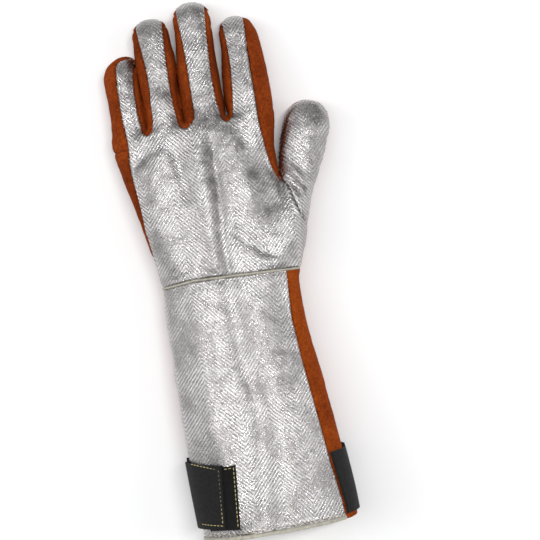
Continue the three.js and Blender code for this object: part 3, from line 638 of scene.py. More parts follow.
def wrist_y(x):
    line = np.array(placed(WRIST_LINE, WRIST_WIDTH))
    return np.interp(x, line[:, 0], line[:, 1])


def seam_height(y):
    """Height of the side seams of the cuff, the hand and the fingers."""
    reach = LIMBS["middle"]["y"] * PALM_LENGTH + LIMBS["middle"]["length"]
    wrist = SEAM_HEIGHTS["wrist"]
    cuff = wrist + (SEAM_HEIGHTS["mouth"] - wrist) * np.clip(-y / CUFF_LENGTH, 0, 1)
    hand = wrist + (SEAM_HEIGHTS["tips"] - wrist) * np.clip(y / reach, 0, 1)
    return np.where(y < 0, cuff, hand)


def thumb_height(y):
    wrist = SEAM_HEIGHTS["wrist"]
    return wrist + (SEAM_HEIGHTS["thumb"] - wrist) * np.clip(y / PALM_LENGTH, 0, 1)


def back_value(x, y, z):
    """Positive where the aluminized back is, negative on the leather."""
    above = z - seam_height(y)
    hand = np.minimum(np.minimum(inside(HAND_LOOP, x, y), above), y - wrist_y(x))
    cuff = np.minimum(np.minimum(inside(CUFF_LOOP, x, y), above), wrist_y(x) - y)
    thumb = np.minimum(inside(THUMB_LOOP, x, y), z - thumb_height(y))
    joint = np.minimum(np.minimum(inside(HAND_LOOP, x, y), inside(CUFF_LOOP, x, y)), above)
    return np.maximum.reduce([hand, cuff, thumb, joint])


def piece_names(x, y, z):
    """Name of the panel at each place."""
    names = np.full(x.shape, "palm", dtype="U20")
    back = back_value(x, y, z) > 0
    cuff = y < wrist_y(x)
    thumb_back = (inside(THUMB_LOOP, x, y) > 0) & ~cuff
    names[back] = "hand_back"
    names[back & thumb_back] = "thumb_back"
    names[back & cuff] = "cuff_back"
    names[back & (y < -CUFF_LENGTH + HEM_WIDTH)] = "cuff_hem"
    leather = ~back
    names[leather & cuff] = "cuff_palm"
    thumb = leather & ~cuff & (inside(THUMB_PATCH_LOOP, x, y) > 0)
    names[thumb] = "thumb_front"
    fingers = leather & ~cuff & ~thumb & (inside(ROOTS_LOOP, x, y) > 0)
    edges = [-OUTSIDE_X] + [crotch_x(i) for i in range(LAST)] + [OUTSIDE_X]
    for i, name in enumerate(FINGERS):
        limb = LIMBS[name]
        mine = fingers & (x > edges[i]) & (x <= edges[i + 1])
        centre = limb["x"] * PALM_WIDTH
        tip = limb["y"] * PALM_LENGTH + limb["length"] - TIP_CAP
        outer = np.zeros(x.shape, bool)
        if i == 0:
            outer = x < centre
        if i == LAST:
            outer = x > centre
        front = mine & ((z < SEAM_HEIGHTS["front"]) | (y > tip) | outer)
        names[front] = name + "_front"
        side = mine & ~front
        if i > 0:
            names[side & (x < centre)] = f"side_{FINGERS[i - 1]}_{name}"
        if i < LAST:
            names[side & (x >= centre)] = f"side_{name}_{FINGERS[i + 1]}"
    return names


def glove_surface():
    """The glove's outer surface as one closed mesh."""
    sizes = np.ceil((GRID_HIGH - GRID_LOW) / GRID_STEP).astype(int) + 1
    axes = [GRID_LOW[n] + GRID_STEP * np.arange(sizes[n]) for n in range(3)]
    field = np.empty(sizes, np.float32)
    for start in range(0, sizes[1], GRID_BLOCK):
        block = axes[1][start : start + GRID_BLOCK]
        x, y, z = np.meshgrid(axes[0], block, axes[2], indexing="ij")
        field[:, start : start + GRID_BLOCK] = glove_distance(x, y, z)
    points, triangles = surface_net(field, GRID_LOW, GRID_STEP)
    points, _ = settle(glove_distance, points)
    roots = smooth(ROOTS_EASE - np.abs(points[:, 1] - ROOTS_Y) / ROOTS_REACH)
    roots = roots * smooth((points[:, 2] - ROOTS_HEIGHT) / ROOTS_FADE)
    return relaxed(points, triangles, roots, ROOTS_ROUNDS), triangles


def seam_values():
    """Functions of place that are zero along the seams, in the order of the cuts."""

    def on_back(value):
        return lambda x, y, z: np.where(back_value(x, y, z) > -SEAM_MARGIN, value(x, y), NO_CUT)

    def on_leather(value):
        return lambda x, y, z: np.where(back_value(x, y, z) < SEAM_MARGIN, value(x, y), NO_CUT)

    def under_fingers(x, y, z):
        reached = (y > FRONTS_FROM_Y) & (x < FRONTS_UP_TO_X)
        return np.where(reached, z - SEAM_HEIGHTS["front"], NO_CUT)

    def in_crotch(i):
        low, high = CROTCH_CUT_Y
        return lambda x, y, z: np.where((y > low) & (y < high), x - crotch_x(i), NO_CUT)

    def at_tip(limb):
        tip = limb["y"] * PALM_LENGTH + limb["length"] - TIP_CAP
        near = limb["width"] * TIP_CUT_SHARE
        middle = limb["x"] * PALM_WIDTH
        return lambda x, y, z: np.where(np.abs(x - middle) < near, y - tip, NO_CUT)

    return [
        lambda x, y, z: y + CUFF_LENGTH,
        back_value,
        lambda x, y, z: y - wrist_y(x),
        on_back(lambda x, y: inside(THUMB_LOOP, x, y)),
        on_back(lambda x, y: y + CUFF_LENGTH - HEM_WIDTH),
        on_leather(lambda x, y: inside(THUMB_PATCH_LOOP, x, y)),
        on_leather(lambda x, y: inside(ROOTS_LOOP, x, y)),
        under_fingers,
        *[in_crotch(i) for i in range(LAST)],
        *[at_tip(LIMBS[name]) for name in FINGERS],
    ]


def cut_to_panels(points, triangles):
    """Cuts the surface along every seam, and off at the mouth."""
    for value in seam_values():
        points, triangles = sliced(points, triangles, value(*points.T))
    centres = points[triangles].mean(axis=1)
    return points, triangles[centres[:, 1] > -CUFF_LENGTH]


def compact(points, faces):
    """The points that the faces use, and the faces renumbered to them."""
    used = np.unique(faces)
    renumber = np.full(len(points), -1)
    renumber[used] = np.arange(len(used))
    return points[used], renumber[faces]


def point_directions(points, triangles):
    """Outward directions at the points."""
    a, b, c = (points[triangles[:, n]] for n in range(3))
    faces = np.cross(b - a, c - a)
    total = np.zeros(points.shape)
    for n in range(3):
        np.add.at(total, triangles[:, n], faces)
    return total / np.maximum(np.linalg.norm(total, axis=1), 1e-9)[:, None]


def without_slivers(points, triangles):
    """Drops the slivers that face the wrong way in the tight creases between fingers."""
    a, b, c = (points[triangles[:, n]] for n in range(3))
    around = point_directions(points, triangles)[triangles].sum(axis=1)
    return triangles[(np.cross(b - a, c - a) * around).sum(axis=1) > 0]


def noise_at(points, size, seed):
    return np.array([noise.noise((x / size + seed, y / size, z / size + seed)) for x, y, z in points])


def distance_to(points, targets):
    """Distance from each point to the nearest target."""
    tree = kdtree.KDTree(len(targets))
    for i, p in enumerate(targets):
        tree.insert(p, i)
    tree.balance()
    return np.array([tree.find(p)[2] for p in points])


def to_frame(points):
    return (np.asarray(points) - ORIGIN) * MM


def add_mesh(name, points, faces, materials):
    mesh = bpy.data.meshes.new(name)
    places = [tuple(p) for p in to_frame(points)]
    mesh.from_pydata(places, [], [tuple(int(i) for i in face) for face in faces])
    for material in materials:
        mesh.materials.append(material)
    mesh.update()
    mesh.polygons.foreach_set("use_smooth", [True] * len(mesh.polygons))
    piece = bpy.data.objects.new(name, mesh)
    bpy.context.scene.collection.objects.link(piece)
    return piece


def new_material(name, base, roughness, metallic=0.0):
    material = bpy.data.materials.new(name)
    material.use_nodes = True
    shader = material.node_tree.nodes["Principled BSDF"]
    shader.inputs["Base Color"].default_value = (*base, 1)
    shader.inputs["Roughness"].default_value = roughness
    shader.inputs["Metallic"].default_value = metallic
    return material, material.node_tree, shader


class Nodes:
    """Shorthand for building a material's nodes."""

    def __init__(self, tree):
        self.tree = tree
        self.coordinates = tree.nodes.new("ShaderNodeTexCoord").outputs["Object"]

    def put(self, socket, value):
        if isinstance(value, bpy.types.NodeSocket):
            self.tree.links.new(value, socket)
        else:
            socket.default_value = value

    def math(self, operation, a, b=0.0, c=0.0):
        node = self.tree.nodes.new("ShaderNodeMath")
        node.operation = operation
        for socket, value in zip(node.inputs, (a, b, c)):
            self.put(socket, value)
        return node.outputs[0]

    def noise(self, scale, detail=2.0, roughness=0.5, distortion=0.0):
        node = self.tree.nodes.new("ShaderNodeTexNoise")
        self.put(node.inputs["Vector"], self.coordinates)
        node.inputs["Scale"].default_value = scale
        node.inputs["Detail"].default_value = detail
        node.inputs["Roughness"].default_value = roughness
        node.inputs["Distortion"].default_value = distortion
        return node.outputs["Fac"]

    def ramp(self, factor, *stops):
        node = self.tree.nodes.new("ShaderNodeValToRGB")
        self.put(node.inputs[0], factor)
        while len(node.color_ramp.elements) < len(stops):
            node.color_ramp.elements.new(0.5)
        for element, (place, colour) in zip(node.color_ramp.elements, stops):
            element.position = place
            element.color = (*colour, 1)
        return node.outputs[0]

    def bump(self, height, strength, distance, normal=None):
        node = self.tree.nodes.new("ShaderNodeBump")
        node.inputs["Strength"].default_value = strength
        node.inputs["Distance"].default_value = distance
        self.put(node.inputs["Height"], height)
        if normal is not None:
            self.put(node.inputs["Normal"], normal)
        return node.outputs[0]

    def place(self):
        node = self.tree.nodes.new("ShaderNodeSeparateXYZ")
        self.put(node.inputs[0], self.coordinates)
        return node.outputs


def linear(*screen):
    """A colour as seen on a screen, in numbers up to 255, as linear shares."""
    shares = [v / 255 for v in screen]
    return tuple(v / 12.92 if v <= 0.04045 else ((v + 0.055) / 1.055) ** 2.4 for v in shares)


def toned(colour, share):
    return tuple(min(v * share, 1) for v in colour)


# The aluminized cloth's herringbone, in metres: width of a column, pitch and slant of its ribs.
COLUMN = 0.021
RIB = 0.0032
RIB_SLANT = 1.15
RIB_WANDER = 0.0035
DENT_DEPTH = 0.0008
WEAVE_DEPTH = 0.00022
CRINKLE_DEPTH = 0.0004
FOIL_BUMP = 0.8
# Foil colours from dark to pale, and how far the ribs and the crinkles move the colour between them: painted
# shade and painted highlight along the ribs, painted glints on the crinkles.
FOIL_PALE = linear(214, 211, 211)
FOIL_GREY = linear(148, 145, 144)
FOIL_DARK = linear(84, 81, 80)
RIB_PAINTED_SHADE = 0.3
CRINKLE_PAINTED_GLINT = 0.8
FOIL_ROUGHNESS = (0.19, 0.16)


def aluminized_cloth():
    """Foil on a herringbone cloth, with dents, fine crinkles and worn places, and painted shade and glints
    in its colour.
    """
    material, tree, shader = new_material("aluminized cloth", FOIL_PALE, 0.26, 1.0)
    n = Nodes(tree)
    x, y, _ = n.place()
    wander = n.math("MULTIPLY", n.math("SUBTRACT", n.noise(30, 1), 0.5), RIB_WANDER)
    across = n.math("PINGPONG", n.math("ADD", x, wander), COLUMN)
    slanted = n.math("ADD", n.math("ADD", y, n.math("MULTIPLY", across, RIB_SLANT)), wander)
    rib = n.math("SINE", n.math("MULTIPLY", slanted, 2 * math.pi / RIB))
    worn = n.ramp(n.noise(34, 3, 0.6), (0.42, (1, 1, 1)), (0.6, (0.2, 0.2, 0.2)))
    weave = n.math("MULTIPLY", n.math("MULTIPLY_ADD", rib, 0.5, 0.5), worn)
    crinkle = n.noise(1800, 1.5, 0.6)
    dented = n.bump(n.noise(90, 3, 0.55, 0.2), FOIL_BUMP, DENT_DEPTH)
    woven = n.bump(weave, FOIL_BUMP, WEAVE_DEPTH, dented)
    tree.links.new(n.bump(crinkle, FOIL_BUMP, CRINKLE_DEPTH, woven), shader.inputs["Normal"])
    # The colour is painted darker and paler along the ribs and the crinkles: painted shade and painted
    # glints standing in for light on the foil, not the foil's own colour.
    painted_rib_shade = n.math("MULTIPLY", weave, RIB_PAINTED_SHADE)
    painted_glint_and_shade = n.math("ADD", painted_rib_shade, n.math("MULTIPLY", crinkle, CRINKLE_PAINTED_GLINT))
    tint = n.ramp(painted_glint_and_shade, (0.22, FOIL_DARK), (0.42, FOIL_GREY), (0.68, FOIL_PALE))
    tree.links.new(tint, shader.inputs["Base Color"])
    least, more = FOIL_ROUGHNESS
    rough = n.math("MULTIPLY_ADD", n.noise(300, 2), more, least)
    tree.links.new(rough, shader.inputs["Roughness"])
    return material


def suede(name, base, dark, light):
    """Split leather: mottled colour under a short nap."""
    material, tree, shader = new_material(name, base, 0.95)
    n = Nodes(tree)
    broad = n.math("MULTIPLY", n.noise(26, 3, 0.6), 0.45)
    fine = n.math("MULTIPLY", n.noise(520, 4, 0.75), 0.55)
    mottled = n.ramp(n.math("ADD", broad, fine), (0.36, dark), (0.5, base), (0.66, light))
    tree.links.new(mottled, shader.inputs["Base Color"])
    grain = n.bump(n.noise(150, 4, 0.65), 0.5, 0.0012)
    nap = n.bump(n.noise(900, 3, 0.7), 0.55, 0.0007, grain)
    tree.links.new(nap, shader.inputs["Normal"])
    shader.inputs["Sheen Weight"].default_value = 0.1
    shader.inputs["Sheen Roughness"].default_value = 0.6
    shader.inputs["Sheen Tint"].default_value = (*linear(214, 104, 48), 1)
    shader.inputs["Specular IOR Level"].default_value = 0.05
    return material


def dark_cloth(name, base, thread):
    """A black weave of crossed threads at a pitch in metres."""
    material, tree, shader = new_material(name, base, 0.85)
    n = Nodes(tree)
    x, y, _ = n.place()
    weft = n.math("SINE", n.math("MULTIPLY", n.math("ADD", x, y), 2 * math.pi / thread))
    warp = n.math("SINE", n.math("MULTIPLY", n.math("SUBTRACT", x, y), 2 * math.pi / thread))
    weave = n.math("MULTIPLY", weft, warp)
    faded = n.ramp(n.noise(400, 3, 0.7), (0.3, toned(base, 0.6)), (0.72, toned(base, 1.7)))
    tree.links.new(faded, shader.inputs["Base Color"])
    bump = n.bump(n.noise(700, 3), 0.4, 0.0005, n.bump(weave, 0.5, 0.0004))
    tree.links.new(bump, shader.inputs["Normal"])
    shader.inputs["Sheen Weight"].default_value = 0.03
    shader.inputs["Specular IOR Level"].default_value = 0.25
    return material


def plain_cloth(name, base, scale=600):
    """Matt cloth or thread, a little uneven in colour and height."""
    material, tree, shader = new_material(name, base, 0.9)
    n = Nodes(tree)
    tree.links.new(n.bump(n.noise(scale, 3), 0.6, 0.0006), shader.inputs["Normal"])
    uneven = n.ramp(n.noise(scale * 0.5, 3), (0.3, toned(base, 0.72)), (0.7, toned(base, 1.15)))
    tree.links.new(uneven, shader.inputs["Base Color"])
    return material


FOIL = aluminized_cloth()
LEATHER = suede("split leather", linear(122, 50, 14), linear(80, 29, 8), linear(158, 74, 28))
CUFF_LEATHER = suede("cuff leather", linear(132, 56, 14), linear(92, 36, 8), linear(166, 80, 24))
STRAP_CLOTH = dark_cloth("strap cloth", linear(22, 22, 23), 0.0016)
LOOP_CLOTH = dark_cloth("loop patch", linear(13, 13, 13), 0.001)
PIPING = plain_cloth("piping", linear(178, 174, 160))
LINING = plain_cloth("back of the cloth", linear(196, 184, 150), 900)
THREAD = plain_cloth("thread", linear(206, 190, 130), 1500)
PALE_THREAD = plain_cloth("pale thread", linear(222, 212, 188), 1500)

# Relief on the panels, in millimetres. Beside the seams: height, distance from the seam, spread.
GROOVE = (-0.8, 0.0, 1.0)
TURNED_EDGE = (0.55, 1.9, 1.1)
PUFF = (0.4, 4.0, 2.2)
# Rumples: height, size, seed. They are calmer towards the mouth, and stop at the seams.
RUMPLES = [(0.55, 17.0, 0.0), (0.3, 8.0, 3.0), (0.16, 4.0, 7.0)]
CALM_FROM_Y = -110.0
CALM_FADE = 12.0
CALM_SHARE = 0.6
RUMPLE_ON_CLOTH = 1.2
RUMPLE_ON_LEATHER = 0.8
RUMPLE_CLEAR = 2.5
RIB_LEAN = 0.5
HEM_HEIGHT = 0.7
HEM_EASE = 0.4
HEM_STEP = 0.8


def seam_ends(triangles, names):
    """Points on the edges between triangles of different panels."""
    ends = np.sort(edges_of(triangles), axis=1)
    order = np.lexsort((ends[:, 1], ends[:, 0]))
    ends, names = ends[order], np.tile(names, 3)[order]
    paired = (ends[1:] == ends[:-1]).all(axis=1)
    return np.unique(ends[1:][paired & (names[1:] != names[:-1])])


def beside_seam(to_seam, height, away, spread):
    return height * np.exp(-(((to_seam - away) / spread) ** 2))


def thumb_ribs(points):
    """Small creases across the thumb."""
    along, across = limb_local("thumb", points[:, 0], points[:, 1])
    x, y = points[:, 0] - THUMB_RIBS["x"], points[:, 1] - THUMB_RIBS["y"]
    reach = np.exp(-((x / THUMB_RIBS["across"]) ** 2) - (y / THUMB_RIBS["along"]) ** 2)
    wave = np.sin((along + RIB_LEAN * across) * 2 * math.pi / THUMB_RIBS["pitch"])
    return THUMB_RIBS["height"] * reach * wave


def relief(points, triangles, names):
    """Height of the grooves, edges, ribs and rumples over the plain surface."""
    metal = np.isin(names, ["hand_back", "thumb_back", "cuff_back", "cuff_hem"])
    on_cloth = np.zeros(len(points), bool)
    on_cloth[triangles[metal].ravel()] = True
    on_cloth[triangles[~metal].ravel()] = False
    to_seam = distance_to(points, points[seam_ends(triangles, names)])
    rumple = sum(height * noise_at(points, size, seed) for height, size, seed in RUMPLES)
    rumple *= 1 - CALM_SHARE * smooth((CALM_FROM_Y - points[:, 1]) / CALM_FADE)
    rumple *= np.where(on_cloth, RUMPLE_ON_CLOTH, RUMPLE_ON_LEATHER) * smooth(to_seam / RUMPLE_CLEAR)
    edge = np.where(on_cloth, beside_seam(to_seam, *TURNED_EDGE), beside_seam(to_seam, *PUFF))
    hem = smooth((-CUFF_LENGTH + HEM_WIDTH + HEM_EASE - points[:, 1]) / HEM_STEP)
    cloth_only = (thumb_ribs(points) + HEM_HEIGHT * hem) * on_cloth
    return beside_seam(to_seam, *GROOVE) + edge + rumple + cloth_only


points, triangles = glove_surface()
points, triangles = cut_to_panels(points, triangles)
triangles = without_slivers(points, triangles)
names = piece_names(*points[triangles].mean(axis=1).T)
directions = point_directions(points, triangles)
points = points + directions * relief(points, triangles, names)[:, None]
points[:, 2] = np.maximum(points[:, 2], 0.0)

SLOTS = {
    "hand_back": "aluminized_cloth",
    "thumb_back": "aluminized_cloth",
    "cuff_back": "aluminized_cloth",
    "cuff_hem": "seam_piping",
    "cuff_palm": "cuff_leather",
}
PANEL_MATERIALS = {
    "aluminized_cloth": FOIL,
    "seam_piping": PIPING,
    "cuff_leather": CUFF_LEATHER,
    "split_leather": LEATHER,
}


def declare(piece, slot_name, *nodes):
    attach(piece, "root")
    if nodes:
        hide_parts(*nodes)


for name in np.unique(names):
    slot_name = SLOTS.get(str(name), "split_leather")
    face = PANEL_MATERIALS[slot_name]
    back = LINING if slot_name in ("aluminized_cloth", "seam_piping") else face
    part_points, part_faces = compact(points, triangles[names == name])
    panel = add_mesh(f"{name}_panel", part_points, part_faces, [face, back])
    # The inner wall stays above the floor where the surface faces up close to it.
    for point, normal in zip(panel.data.vertices, panel.data.vertex_normals):
        point.co.z = max(point.co.z, normal.vector.z * LEATHER_WALL * MM)
    wall = panel.modifiers.new("wall", "SOLIDIFY")
    wall.thickness = (CLOTH_WALL if back is LINING else LEATHER_WALL) * MM
    wall.offset = -1
    wall.material_offset = 1
    declare(panel, slot_name, str(name))


def oval_grid(angles, ys, offset):
    """Points round the cuff on a grid of angles and places along it, at an offset from its surface."""
    angle, y = np.meshgrid(angles, ys, indexing="ij")
    half, depth, centre, floor = (body_at(n, y) for n in ("half", "depth", "centre", "floor"))
    s, c = np.sin(angle), np.cos(angle)
    power = np.where(s > 0, 2 / TOP_ROUNDNESS, 2 / UNDERSIDE_ROUNDNESS)
    waist = floor + depth * WAIST_SHARE
    reach = np.where(s > 0, depth * (1 - WAIST_SHARE), depth * WAIST_SHARE + FLOOR_SAG)
    x = centre + np.sign(c) * np.abs(c) ** power * (half + offset)
    z = waist + np.sign(s) * np.abs(s) ** power * (reach + offset)
    z = np.maximum(z, floor - offset)
    grid = np.stack([x.ravel(), y.ravel(), z.ravel()], axis=1)
    count_a, count_y = angle.shape
    index = np.arange(count_a * count_y).reshape(count_a, count_y)
    here, beyond = index[:-1, :-1].ravel(), index[1:, 1:].ravel()
    round_it, along_it = index[1:, :-1].ravel(), index[:-1, 1:].ravel()
    halves = [(here, beyond, round_it), (here, along_it, beyond)]
    faces = np.concatenate([np.stack(half_cell, 1) for half_cell in halves])
    return grid, faces, angle.ravel()


# Strap, patch and their places on the cuff, in millimetres in plan.
STRAP_TOP = -0.668 * CUFF_LENGTH
STRAP_WIDTH = 46.0
STRAP_THICKNESS = 2.0
STRAP_DROP = 12.4
TAB_DROP = 7.0
FLARE = 4.9
SLANT = 4.0
TAB_X = -0.248 * MOUTH_WIDTH
PATCH_X = -0.162 * MOUTH_WIDTH
PATCH_WIDTH = 26.0
PATCH_THICKNESS = 1.2
SIDE = 0.7 * MOUTH_WIDTH
FOOT = STRAP_TOP - STRAP_WIDTH
UNDER_TOP, UNDER_FOOT = STRAP_TOP - STRAP_DROP, FOOT - STRAP_DROP
TAB_TOP, TAB_FOOT = STRAP_TOP - TAB_DROP, FOOT - TAB_DROP
UNDER_LOOP = [[-SIDE, STRAP_TOP], [SIDE, UNDER_TOP], [SIDE, UNDER_FOOT], [-SIDE, FOOT - FLARE]]
TAB_LOOP = [[-SIDE, STRAP_TOP], [TAB_X, TAB_TOP], [TAB_X - SLANT, TAB_FOOT], [-SIDE, FOOT - FLARE]]
# The strap's other end comes up to the aluminized cuff's edge.
END_GAP = 0.8
SEAM_EDGE = np.array(cuff_edge())
END_YS = np.linspace(UNDER_TOP, UNDER_FOOT, 8)
END_XS = np.interp(-END_YS, -SEAM_EDGE[:, 1], SEAM_EDGE[:, 0]) + END_GAP
END_LOOP = [[SIDE, UNDER_TOP], [SIDE, UNDER_FOOT]] + [[x, y] for x, y in zip(END_XS, END_YS)][::-1]
PATCH_TOP = TAB_TOP - PATCH_THICKNESS
PATCH_FOOT = PATCH_TOP - STRAP_WIDTH
PATCH_SIDE = PATCH_X - PATCH_WIDTH
PATCH_LOOP = [[PATCH_SIDE, PATCH_TOP], [PATCH_X, PATCH_TOP]]
PATCH_LOOP += [[PATCH_X - SLANT, PATCH_FOOT], [PATCH_SIDE, PATCH_FOOT]]
# Both lie this far off the cuff, and the tab rises over the patch between these angles.
STRAP_CLEARANCE = 0.6
PATCH_CLEARANCE = 0.55
TAB_RISE = 1.5
TAB_RISES = dict(start=60, over=20, end=182, down=14)
STRAP_OVERLAP = 0.3
STRAP_WAVE = 0.5
STRAP_WAVE_SIZE = 22.0
STRAP_WAVE_SEED = 11.0
STRAP_FLAT_BELOW = 8.0
LEAST_STRAP_Z = 2.05
STRAP_GRID = (np.radians(np.arange(30, 391, 1.2)), np.arange(-190.0, -120.0, 1.4))
PATCH_GRID = (np.radians(np.arange(70, 160, 1.0)), np.arange(-184.0, -128.0, 1.2))
CUT_SNAP = 0.05


def strap_value(x, y, z):
    """Positive where the strap is: all round below, its tab and its other end above."""
    waist = seam_height(np.full_like(y, STRAP_TOP))
    under = np.minimum(inside(UNDER_LOOP, x, y), waist - z + STRAP_OVERLAP)
    ends = np.maximum(inside(TAB_LOOP, x, y), inside(END_LOOP, x, y))
    upper = np.minimum(ends, z - waist + STRAP_OVERLAP)
    return np.maximum(under, upper)


def over_patch(angle):
    """A share that is 1 over the patch and 0 away from it."""
    degrees = np.degrees(angle) % 360
    up = smooth((degrees - TAB_RISES["start"]) / TAB_RISES["over"])
    return up * smooth((TAB_RISES["end"] - degrees) / TAB_RISES["down"])


def cut_out(grid, faces, value):
    """The part of a grid where the value is positive."""
    grid, faces = sliced(grid, faces, value(*grid.T), CUT_SNAP)
    return compact(grid, faces[value(*grid[faces].mean(axis=1).T) > 0])


def thicken(piece, thickness, edge=0.5):
    wall = piece.modifiers.new("wall", "SOLIDIFY")
    wall.thickness = thickness * MM
    wall.offset = 1
    worn = piece.modifiers.new("worn edges", "BEVEL")
    worn.width = edge * MM
    worn.segments = 2
    worn.limit_method = "ANGLE"
    worn.angle_limit = math.radians(50)


grid, faces, angle = oval_grid(*STRAP_GRID, STRAP_CLEARANCE)
grid, _ = settle(glove_distance, grid, STRAP_CLEARANCE + TAB_RISE * over_patch(angle))
wave = noise_at(grid, STRAP_WAVE_SIZE, STRAP_WAVE_SEED) * (grid[:, 2] > STRAP_FLAT_BELOW)
grid[:, 2] += STRAP_WAVE * wave
strap_points, strap_faces = cut_out(grid, faces, strap_value)
strap_points[:, 2] = np.maximum(strap_points[:, 2], LEAST_STRAP_Z)
strap = add_mesh("strap_and_tab", strap_points, strap_faces, [STRAP_CLOTH])
thicken(strap, STRAP_THICKNESS)
declare(strap, "strap", "cuff_strap")

grid, faces, _ = oval_grid(*PATCH_GRID, STRAP_CLEARANCE)
grid, _ = settle(glove_distance, grid, PATCH_CLEARANCE)
patch_points, patch_faces = cut_out(grid, faces, lambda x, y, z: inside(PATCH_LOOP, x, y))
patch = add_mesh("loop_patch_cloth", patch_points, patch_faces, [LOOP_CLOTH])
thicken(patch, PATCH_THICKNESS, 0.3)
declare(patch, "loop_patch", "strap_patch")


TUBE_SIDES = 8
TUBE_END = 0.4
TUBE_END_STEP = 0.35
ABOVE_GLOVE = 75.0


def ring_faces(count, sides, start=0):
    """Faces between rings of points, whose numbers begin at start, with closed ends."""
    faces = []
    end = start + (count - 1) * sides
    for ring in range(start, end, sides):
        for k in range(sides):
            a, b = ring + k, ring + (k + 1) % sides
            faces.append((a, b, b + sides, a + sides))
    return faces + [tuple(range(start, start + sides))[::-1], tuple(range(end, end + sides))]


def tube(name, path, radius, material):
    """A round cord along a path of points, with closed ends."""
    path = np.asarray(path, float)
    ahead = np.gradient(path, axis=0)
    ahead /= np.linalg.norm(ahead, axis=1)[:, None]
    side = np.cross(ahead, [0.0, 1.0, 0.0])
    side /= np.linalg.norm(side, axis=1)[:, None]
    lift = np.cross(side, ahead)
    rings = []
    for i in range(len(path)):
        size = radius * min(1.0, TUBE_END + min(i, len(path) - 1 - i) * TUBE_END_STEP)
        for k in range(TUBE_SIDES):
            turn = 2 * math.pi * k / TUBE_SIDES
            rings.append(path[i] + size * (math.cos(turn) * side[i] + math.sin(turn) * lift[i]))
    return add_mesh(name, rings, ring_faces(len(path), TUBE_SIDES), [material])


def on_surface(x, y, level=0.0):
    """Points over places in plan, at a level above the top of the glove."""
    x, y = np.asarray(x, float), np.asarray(y, float)
    z = np.full(x.shape, ABOVE_GLOVE)
    for _ in range(20):
        z = z - np.clip(glove_distance(x, y, z) - level, -6, 6) * 0.9
    return np.stack([x, y, z], axis=1)


# Piping along the wrist seam, over the back from side to side.
PIPING_RADIUS = 0.85
PIPING_LEVEL = 0.45
PIPING_INSET = 0.4
half, centre = float(body_at("half", 0.0)), float(body_at("centre", 0.0))
welt_x = centre - (half - PIPING_INSET) * np.cos(np.linspace(0, math.pi, 90))
welt = on_surface(welt_x, wrist_y(welt_x))
welt, _ = settle(glove_distance, welt[welt[:, 2] > SEAM_HEIGHTS["wrist"]], PIPING_LEVEL)
declare(tube("wrist_piping", welt, PIPING_RADIUS, PIPING), "seam_piping", "wrist_welt")

# Threads: rings and sides of each stitch, and how flat and how far out of the cloth it lies.
THREAD_RINGS = 5
THREAD_SIDES = 6
THREAD_FLATNESS = 0.8
THREAD_LIFT = 0.12


def stitch_rings(middle, width):
    """Rings of points round one thread, slimmer at its ends."""
    ahead = middle[-1] - middle[0]
    ahead /= np.linalg.norm(ahead)
    side = np.cross(ahead, [0, 0, 1.0])
    side /= max(np.linalg.norm(side), 1e-6)
    up = np.cross(side, ahead)
    points = []
    for i, p in enumerate(middle):
        swell = math.sin(math.pi * (i + 0.6) / (THREAD_RINGS + 0.2)) ** 0.5
        for k in range(THREAD_SIDES):
            turn = 2 * math.pi * k / THREAD_SIDES
            around = math.cos(turn) * side + math.sin(turn) * up * THREAD_FLATNESS
            points.append(p + width / 2 * swell * around + up * THREAD_LIFT * swell)
    return points


def stitches(name, runs, material, length, width, gap):
    """Short threads laid end to end along runs of surface points."""
    points, faces = [], []
    for run in runs:
        steps = np.linalg.norm(np.diff(run, axis=0), axis=1)
        along = np.concatenate([[0], np.cumsum(steps)])
        place = 0.0
        while place + length < along[-1]:
            ts = np.linspace(place, place + length, THREAD_RINGS)
            middle = np.stack([np.interp(ts, along, run[:, n]) for n in range(3)], axis=1)
            faces += ring_faces(THREAD_RINGS, THREAD_SIDES, len(points))
            points += stitch_rings(middle, width)
            place += length + gap
    return add_mesh(name, np.array(points), faces, [material])


def line_on(places, cloth=None, thickness=0.1, count=60):
    """Points along a line in plan, on top of the glove or of a cloth laid on it."""
    places = np.asarray(places, float)
    steps = np.concatenate([[0], np.cumsum(np.linalg.norm(np.diff(places, axis=0), axis=1))])
    t = np.linspace(0, steps[-1], count)
    x, y = np.interp(t, steps, places[:, 0]), np.interp(t, steps, places[:, 1])
    level = np.full(count, thickness)
    if cloth is not None:
        upper = cloth[cloth[:, 2] > SEAM_HEIGHTS["mouth"]]
        away = np.hypot(upper[:, 0] - x[:, None], upper[:, 1] - y[:, None])
        level += glove_distance(*upper[away.argmin(axis=1)].T)
    return on_surface(x, y, level)


# Stitches: length, width and gap, and their lines in plan inside the edges.
CLOTH_STITCH = (2.0, 0.6, 1.1)
HEM_STITCH = (3.0, 0.8, 1.6)
TAB_INSET = 2.6
TAB_FROM_X = -51
TAB_RUN_DROPS = (1.4, 5.0)
PATCH_INSET = 1.6
PATCH_FROM_X = TAB_X + 1.5
HEM_FROM_X, HEM_TO_X = -49, 53
HEM_INSET = 4.6
HEM_WANDER = 0.5

